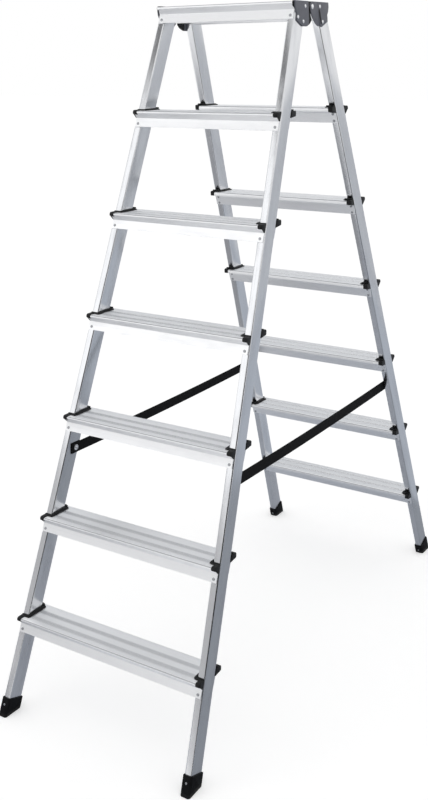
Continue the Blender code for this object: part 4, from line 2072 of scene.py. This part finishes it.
    def nose_cap(self, treads: Treads) -> bpy.types.Mesh:
        """Build the black cap in the end of a top tread's nose, and its flange on the tread's end.

        Args:
            treads: The treads that it fits.

        Returns:
            The cap, from the stile's axis at the tread's top.
        """
        foot = FIT_GAP - treads.slope_drop
        step = treads.nose_height / 3
        outline = [
            (FORM.front_face(-FIT_GAP) - 2 * FIT_GAP, -FIT_GAP),
            (treads.nose_y + step, -FIT_GAP),
            (treads.nose_y + FIT_GAP, -step),
            (treads.nose_y + FIT_GAP, -2 * step),
            (treads.nose_y + step, FIT_GAP - treads.nose_height),
            (FORM.front_face(foot) - treads.apron_offset + FIT_GAP, foot),
            (FORM.front_face(foot) - 2 * FIT_GAP, foot),
        ]
        plug = rounded_prism(
            "plug", Shape(outline, step), beside, self.nose_cap_start, self.nose_cap_end, FIT_GAP
        )
        front, end = self.front_edge[0][0] + self.edge, self.cover_end
        inner, outer = self.cover_inner, self.back_of_plate - FIT_GAP
        plan = Shape([(inner, front), (outer, front), (outer, end), (inner, end)], self.edge * 2)
        crest = self.top + self.pivot.z - FIT_GAP / 2
        flange = rounded_prism("flange", plan, self.level, FIT_GAP / 2, crest, FIT_GAP)
        cap = gathered("nose_cap", [plug, flange])
        return lay_grain(cap)

    def pin(self) -> bpy.types.Mesh:
        """Build the right-hand pin, with a domed head outside and a flare inside.

        Returns:
            The pin, from the stile's axis at the tread's top.
        """
        start = self.wing_inner - self.pin_flare
        head = self.leaf_outer + FIT_GAP / 2
        profile = [
            (start, self.pin_flare_radius * TAPER),
            (start + self.pin_flare / 3, self.pin_flare_radius),
            (self.wing_inner - FIT_GAP / 2, self.pin_flare_radius),
            (self.wing_inner - FIT_GAP / 2, self.pin_radius),
            (head, self.pin_radius),
            (head, self.pin_head_radius),
        ]
        dome = Dome(
            self.pin_head_radius,
            self.pin_head,
            rim=self.pin_head_rim,
            steps=self.pin_head_steps,
            step_angle=self.pin_head_angle,
        )
        profile += dome.profile(head)
        mesh = turned("pin", profile, self.pivot, Vector((1, 0, 0)), self.pin_segments)
        return lay_grain(mesh)

    def rivets(self, places: Sequence[tuple[float, float]]) -> bpy.types.Mesh:
        """Build the rivets of a right-hand bracket.

        Args:
            places: y and level from the pivot, for each rivet.

        Returns:
            The rivet heads, from the stile's axis at the tread's top.
        """
        seats = [self.side(y, level, self.face) for y, level in places]
        return lay_grain(gathered("rivets", [self.rivet.mesh(seat, FORM.cross) for seat in seats]))

    def build(self, treads: Treads) -> None:
        """Place the brackets, the wings, the painted shade strips, the noses' caps, the rivets and
        the pins.

        Args:
            treads: The treads that the brackets fit.
        """
        at = FORM.stile_point(FORM.tread_top(FORM.tread_count))
        cap, pin = self.nose_cap(treads), self.pin()
        black, grey, bright = self.finishes.black, self.finishes.hinge, self.finishes.bright
        for hand, bracket, places, insert, insert_name in (
            # The wing's pad and its thin floor are black partly as painted shade for the gap
            # between the brackets.
            (Hand.RIGHT, self.seam_bracket(), self.seam_rivets, self.wing(), "wing"),
            # The strip is painted shade: a black band on the leaf's plate where shade falls along
            # it.
            (Hand.LEFT, self.leaf_bracket(), self.leaf_rivets, self.painted_shade_strip(), "painted_shade_strip"),
        ):
            rivets = self.rivets(places)
            for flight in Flight:
                node = f"{flight.value}_{hand.label(flight)}_bracket"
                pieces = [
                    ("moulding", bracket, grey, Slot.HINGE_PLASTIC, node),
                    (insert_name, insert, black, Slot.BLACK_PLASTIC, None),
                    ("nose_cap", cap, black, Slot.BLACK_PLASTIC, None),
                    ("rivets", rivets, bright, Slot.STEEL, None),
                ]
                for label, mesh, finish, slot, stands_for in pieces:
                    placed = self.place(mesh, flight, hand, at)
                    self.add(f"{node}_{label}", placed, finish, flight, slot, stands_for)
        for hand in Hand:
            node = f"hinge_pin_{hand.label(Flight.FRONT)}"
            placed = self.place(pin, Flight.FRONT, hand, at)
            self.add(f"{node}_turned", placed, bright, Flight.FRONT, Slot.STEEL, node)


@dataclass
class Straps(Assembly):
    """The webbing between the flights and the rivets that hold it."""

    width: float = 0.025
    thickness: float = 0.0016
    tail: float = 0.015
    sag: float = 0.004
    stations: int = 97
    crowding: float = 0.3
    ribs: int = 11
    rib_points: int = 4
    rib_depth: float = 0.00014
    edge_power: int = 12
    seal: float = 0.0025
    hole: float = 0.0026
    held_tread: int = 3
    rivet_drop: float = 0.074
    rivet_setback: float = 0.0085
    rivet_shank: float = 0.0024
    rivet_flare: float = 0.0038
    washer_radius: float = 0.0066
    washer: float = 0.0009
    dome_radius: float = 0.0034
    dome: float = 0.0014
    mandrel: float = 0.0011
    rivet_segments: int = 28

    @cached_property
    def half_length(self) -> float:
        """Half of the strap's length."""
        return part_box("strap_right")[1].y

    @property
    def reach(self) -> float:
        """How far the rivets lie from the middle."""
        return self.half_length - self.tail

    @cached_property
    def middle(self) -> Vector:
        """Middle of the right-hand strap's outer face, level with its rivets."""
        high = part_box("strap_right")[1]
        return Vector((high.x - math.tan(FORM.splay) * self.width / 2, 0, high.z - self.width / 2))

    @cached_property
    def rivet_point(self) -> Vector:
        """Centre of the right-hand rivet on the front stile's inner face."""
        along = (FORM.tread_top(self.held_tread) - self.rivet_drop) / FORM.axis.z
        return FORM.stile_point(0) + FORM.square_point(-FORM.half_width, self.rivet_setback, along)

    def section(self) -> Outline:
        """Section of the webbing: ribs on both faces between two thin edges.

        Returns:
            The closed outline as pairs of height and depth from the outer face.
        """
        steps = self.ribs * self.rib_points
        outer = []
        for step in range(steps + 1):
            share = step / steps
            edge = abs(2 * share - 1) ** self.edge_power
            rib = (1 - math.cos(math.tau * self.ribs * share)) / 2
            depth = edge * self.thickness / 3 + (1 - rib) * self.rib_depth
            outer.append((self.width * (share - 0.5), depth))
        return outer + [(height, self.thickness - depth) for height, depth in reversed(outer)]

    def webbing(self) -> bpy.types.Mesh:
        """Build the right-hand strap.

        Returns:
            The strap, in the ladder's frame.
        """
        section = self.section()
        rings = []
        for station in range(self.stations):
            even = 2 * station / (self.stations - 1) - 1
            crowded = math.sin(math.pi * even / 2)
            y = self.half_length * ((1 - self.crowding) * even + self.crowding * crowded)
            drop = self.sag * max(0.0, 1 - (y / self.reach) ** 2)
            sealed = min(1.0, 0.5 + (self.half_length - abs(y)) / self.seal)
            ring = []
            for height, depth in section:
                inward = self.thickness / 2 + (depth - self.thickness / 2) * sealed
                offset = Vector((-inward - height * math.tan(FORM.splay), y, height - drop))
                ring.append(self.middle + offset)
            rings.append(ring)
        body = loft("webbing", rings)
        holes = []
        for sign in (-1, 1):
            centre = self.middle + Vector((0, sign * self.reach, 0))
            profile = [(-self.width, self.hole), (self.width, self.hole)]
            holes.append(turned("hole", profile, centre, Vector((1, 0, 0))))
        return combine(body, holes, Cut.REMOVE)

    def rivet(self) -> bpy.types.Mesh:
        """Build the front flight's right-hand rivet.

        It has a washer under a domed head, and a flare in the stile.

        Returns:
            The rivet, in the ladder's frame.
        """
        seat = self.rivet_point.x - self.middle.x + self.thickness + FIT_GAP / 2
        crest = seat + self.washer
        soft = self.washer / 3
        flare = -self.thickness - FIT_GAP
        profile = [
            (flare - self.thickness, self.rivet_flare * TAPER),
            (flare, self.rivet_flare),
            (flare, self.rivet_shank),
            (seat, self.rivet_shank),
            (seat, self.washer_radius - soft),
            (seat + soft, self.washer_radius),
            (crest - soft, self.washer_radius),
            (crest, self.washer_radius - soft),
            (crest - soft / 2, self.dome_radius + soft),
            (crest - soft / 2, self.dome_radius),
        ]
        profile += Dome(self.dome_radius, self.dome, self.mandrel).profile(crest)
        profile += [(crest + self.dome, self.mandrel), (crest, self.mandrel * TAPER)]
        mesh = turned("rivet", profile, self.rivet_point, -FORM.cross, self.rivet_segments)
        return lay_grain(mesh)

    def crumple(self, piece: bpy.types.Object, middle: Vector) -> None:
        """Give a strap a mesh of its own.

        Args:
            piece: The strap.
            middle: Middle of its outer face; not used.
        """
        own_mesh(piece)

    def build(self) -> None:
        """Place both straps and their rivets."""
        webbing = self.webbing()
        rivet = self.rivet()
        for hand in Hand:
            side = hand.label(Flight.FRONT)
            strap = webbing.copy() if hand is Hand.RIGHT else mirrored(webbing)
            lay_grain(strap, axes_of(Vector((0, 1, 0)), Vector((0, 0, 1))))
            node = f"strap_{side}"
            finish = self.finishes.webbing
            piece = self.add(f"{node}_webbing", strap, finish, Flight.FRONT, Slot.WEBBING, node)
            self.crumple(piece, self.middle * Vector((hand.value, 1, 1)))
        for flight, hand, corner in corners():
            node = f"{corner}_strap_rivet"
            placed = self.place(rivet, flight, hand, Vector((0, 0, 0)))
            self.add(f"{node}_washer", placed, self.finishes.bright, flight, Slot.STEEL, node)


# The studio


@dataclass(frozen=True)
class Card:
    """A grey card that only the metal's reflections show."""

    name: str
    centre: tuple[float, float, float]
    facing: tuple[float, float, float]
    width: float
    height: float
    colour: tuple[float, float, float]


@dataclass
class Studio:
    """Pale floor, soft light and the camera."""

    floor_half: float = 30.0
    floor_colour: float = 0.86
    floor_mottle: float = 0.01
    floor_detail: float = 2
    ambient: float = 0.72
    picture: tuple[int, int] = (428, 800)
    eye: tuple[float, float, float] = (1.22147, -2.01739, 1.40152)
    heading: float = -0.57907
    tilt: float = -0.29344
    roll: float = 0.01377
    focal_pixels: float = 1021.35
    middle: tuple[float, float] = (209.18, 366.54)
    sensor: float = 36.0
    key_at: tuple[float, float, float] = (-1.75, -2.9, 2.15)
    key_aim: tuple[float, float, float] = (0.0, -0.2, 0.8)
    key_size: tuple[float, float] = (1.9, 2.2)
    key_radiance: float = 0.35
    floor_lift: float = 0.42
    cards: tuple[Card, ...] = (
        Card("right_card", (1.83, -0.075, 0.01), (0, 0, 1), 3.14, 2.05, (0.46, 0.49, 0.54)),
        Card("far_card", (1.55, 2.475, 0.01), (0, 0, 1), 3.7, 3.05, (0.68, 0.73, 0.81)),
        Card("right_back_card", (2.4, 3.9, 0.7), (-0.53, -0.85, 0), 5.0, 1.4, (0.84, 0.87, 0.92)),
        Card("under_card", (-0.11, 0.1, 0.008), (0, 0, 1), 0.98, 1.8, (0.58, 0.61, 0.67)),
        Card("front_right_card", (2.2, -2.4, 1.0), (-0.7, 0.7, 0), 5.5, 2.2, (0.05, 0.05, 0.055)),
        Card("front_floor_card", (2.6, -1.5, 0.012), (0, 0, 1), 2.8, 3.0, (0.05, 0.05, 0.055)),
        Card("low_front_card", (-1.5, -3.0, 0.575), (0.5, 1, 0), 4.5, 1.15, (0.84, 0.84, 0.85)),
        Card(
            "high_front_card", (-2.2, -2.6, 3.64), (0.45, 0.9, -0.6), 2.6, 0.54, (0.11, 0.11, 0.115)
        ),
        Card("left_floor_card", (-1.0, -0.72, 0.012), (0, 0, 1), 1.4, 1.46, (0.49, 0.50, 0.53)),
        Card("back_card", (-2.6, 4.2, 0.95), (0.5, -0.86, 0), 7.0, 1.9, (0.40, 0.43, 0.48)),
        Card("high_back_card", (-2.6, 4.2, 3.1), (0.5, -0.86, 0), 7.0, 2.4, (0.95, 0.97, 1.0)),
    )

    def floor_material(self) -> bpy.types.Material:
        """Make the floor's finish: pale, lifted to white where it is seen, with its shadow kept.

        Returns:
            The material.
        """
        graph = Graph("pale_floor")
        tint = graph.noise(graph.node("TexCoord").outputs["Object"], self.floor_detail)
        shades = (self.floor_colour, self.floor_colour - self.floor_mottle)
        colour = graph.mix(tint, *((shade, shade, shade, 1) for shade in shades))
        matt = graph.node("BsdfDiffuse", {"Color": colour})
        lift = graph.math("MULTIPLY", self.seen(graph.tree), self.floor_lift)
        glow = graph.node("Emission", {"Strength": lift})
        both = graph.node("AddShader", {0: matt.outputs[0], 1: glow.outputs[0]})
        graph.tree.links.new(both.outputs[0], graph.tree.nodes["Material Output"].inputs["Surface"])
        return graph.material

    def seen(self, tree: bpy.types.NodeTree) -> bpy.types.NodeSocket:
        """Whether a ray shows what it meets, directly, in a reflection or through something clear.

        Args:
            tree: The node tree to add the test to.

        Returns:
            1 for such a ray, and 0 for one that only lights.
        """
        path = tree.nodes.new("ShaderNodeLightPath")
        shown = path.outputs["Is Camera Ray"]
        for name in ("Is Glossy Ray", "Is Transmission Ray"):
            either = tree.nodes.new("ShaderNodeMath")
            either.operation = "MAXIMUM"
            tree.links.new(shown, either.inputs[0])
            tree.links.new(path.outputs[name], either.inputs[1])
            shown = either.outputs[0]
        return shown

    def plane(
        self, name: str, width: float, height: float, material: bpy.types.Material
    ) -> bpy.types.Object:
        """Add a flat stage piece.

        Args:
            name: Its name.
            width: Its size along x.
            height: Its size along y.
            material: Its finish.

        Returns:
            The piece.
        """
        builder = bmesh.new()
        bmesh.ops.create_grid(builder, x_segments=1, y_segments=1, size=0.5)
        mesh = bpy.data.meshes.new(name)
        builder.to_mesh(mesh)
        builder.free()
        mesh.transform(Matrix.Diagonal((width, height, 1, 1)))
        mesh.materials.append(material)
        piece = bpy.data.objects.new(name, mesh)
        bpy.context.scene.collection.objects.link(piece)
        piece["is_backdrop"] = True
        return piece

    def add_cards(self) -> None:
        """Stand the grey cards round the ladder, out of the camera's sight."""
        for card in self.cards:
            graph = Graph(card.name)
            graph.set(Base_Color=card.colour + (1,), Roughness=1.0, Specular_IOR_Level=0.0)
            piece = self.plane(card.name, card.width, card.height, graph.material)
            piece.location = card.centre
            piece.rotation_mode = "QUATERNION"
            piece.rotation_quaternion = Vector(card.facing).to_track_quat("Z", "Y")
            piece.visible_camera = False
            piece.visible_diffuse = False
            piece.visible_shadow = False

    def add_world(self) -> None:
        """Set a white surrounding that lights softly."""
        world = bpy.data.worlds.new("studio")
        bpy.context.scene.world = world
        world.use_nodes = True
        tree = world.node_tree
        level = tree.nodes.new("ShaderNodeMapRange")
        level.inputs["To Min"].default_value = self.ambient
        level.inputs["To Max"].default_value = 1.0
        tree.links.new(self.seen(tree), level.inputs["Value"])
        background = tree.nodes["Background"]
        background.inputs["Color"].default_value = (1, 1, 1, 1)
        tree.links.new(level.outputs["Result"], background.inputs["Strength"])

    def add_key(self) -> None:
        """Add the soft box in front of the ladder, to its left."""
        lamp = bpy.data.lights.new("key", "AREA")
        lamp.shape = "RECTANGLE"
        lamp.size, lamp.size_y = self.key_size
        lamp.energy = self.key_radiance * math.pi * self.key_size[0] * self.key_size[1]
        key = bpy.data.objects.new("key", lamp)
        bpy.context.scene.collection.objects.link(key)
        key.location = self.key_at
        aim = Vector(self.key_aim) - Vector(self.key_at)
        key.rotation_mode = "QUATERNION"
        key.rotation_quaternion = aim.to_track_quat("-Z", "Y")

    def add_camera(self) -> None:
        """Set the camera at the photograph's viewing angle."""
        width, height = self.picture
        data = bpy.data.cameras.new("camera")
        data.sensor_width = self.sensor
        data.lens = self.focal_pixels * self.sensor / height
        data.shift_x = (width / 2 - self.middle[0]) / height
        data.shift_y = (self.middle[1] - height / 2) / height
        camera = bpy.data.objects.new("camera", data)
        bpy.context.scene.collection.objects.link(camera)
        swing = Matrix.Rotation(-self.heading, 4, "Z")
        nod = Matrix.Rotation(math.pi / 2 + self.tilt, 4, "X")
        roll = Matrix.Rotation(-self.roll, 4, "Z")
        camera.matrix_world = Matrix.Translation(self.eye) @ swing @ nod @ roll
        bpy.context.scene.camera = camera

    def build(self) -> None:
        """Build the whole studio."""
        floor = self.plane("floor", 2 * self.floor_half, 2 * self.floor_half, self.floor_material())
        log.info("%s is %.0f m wide", floor.name, 2 * self.floor_half)
        self.add_cards()
        self.add_world()
        self.add_key()
        self.add_camera()
        bpy.context.scene.view_settings.view_transform = "Standard"


def write_sizes() -> None:
    """Work out the box of the frame and the box of the dressed ladder."""
    boxes = {"cad": CAD_BOX, "visual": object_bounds()}
    plain = {name: [list(corner) for corner in corners] for name, corners in boxes.items()}


def main() -> None:
    """Build the sub-assemblies in order, then the studio."""
    logging.basicConfig(level=logging.INFO, format="%(name)s: %(message)s")
    finishes = Finishes()
    Studio().build()
    Stiles(finishes).build()
    treads = Treads(finishes)
    treads.build()
    EndCaps(finishes).build(treads)
    Boots(finishes).build()
    Hinges(finishes).build(treads)
    Straps(finishes).build()
    write_sizes()


if __name__ == "__main__":
    main()
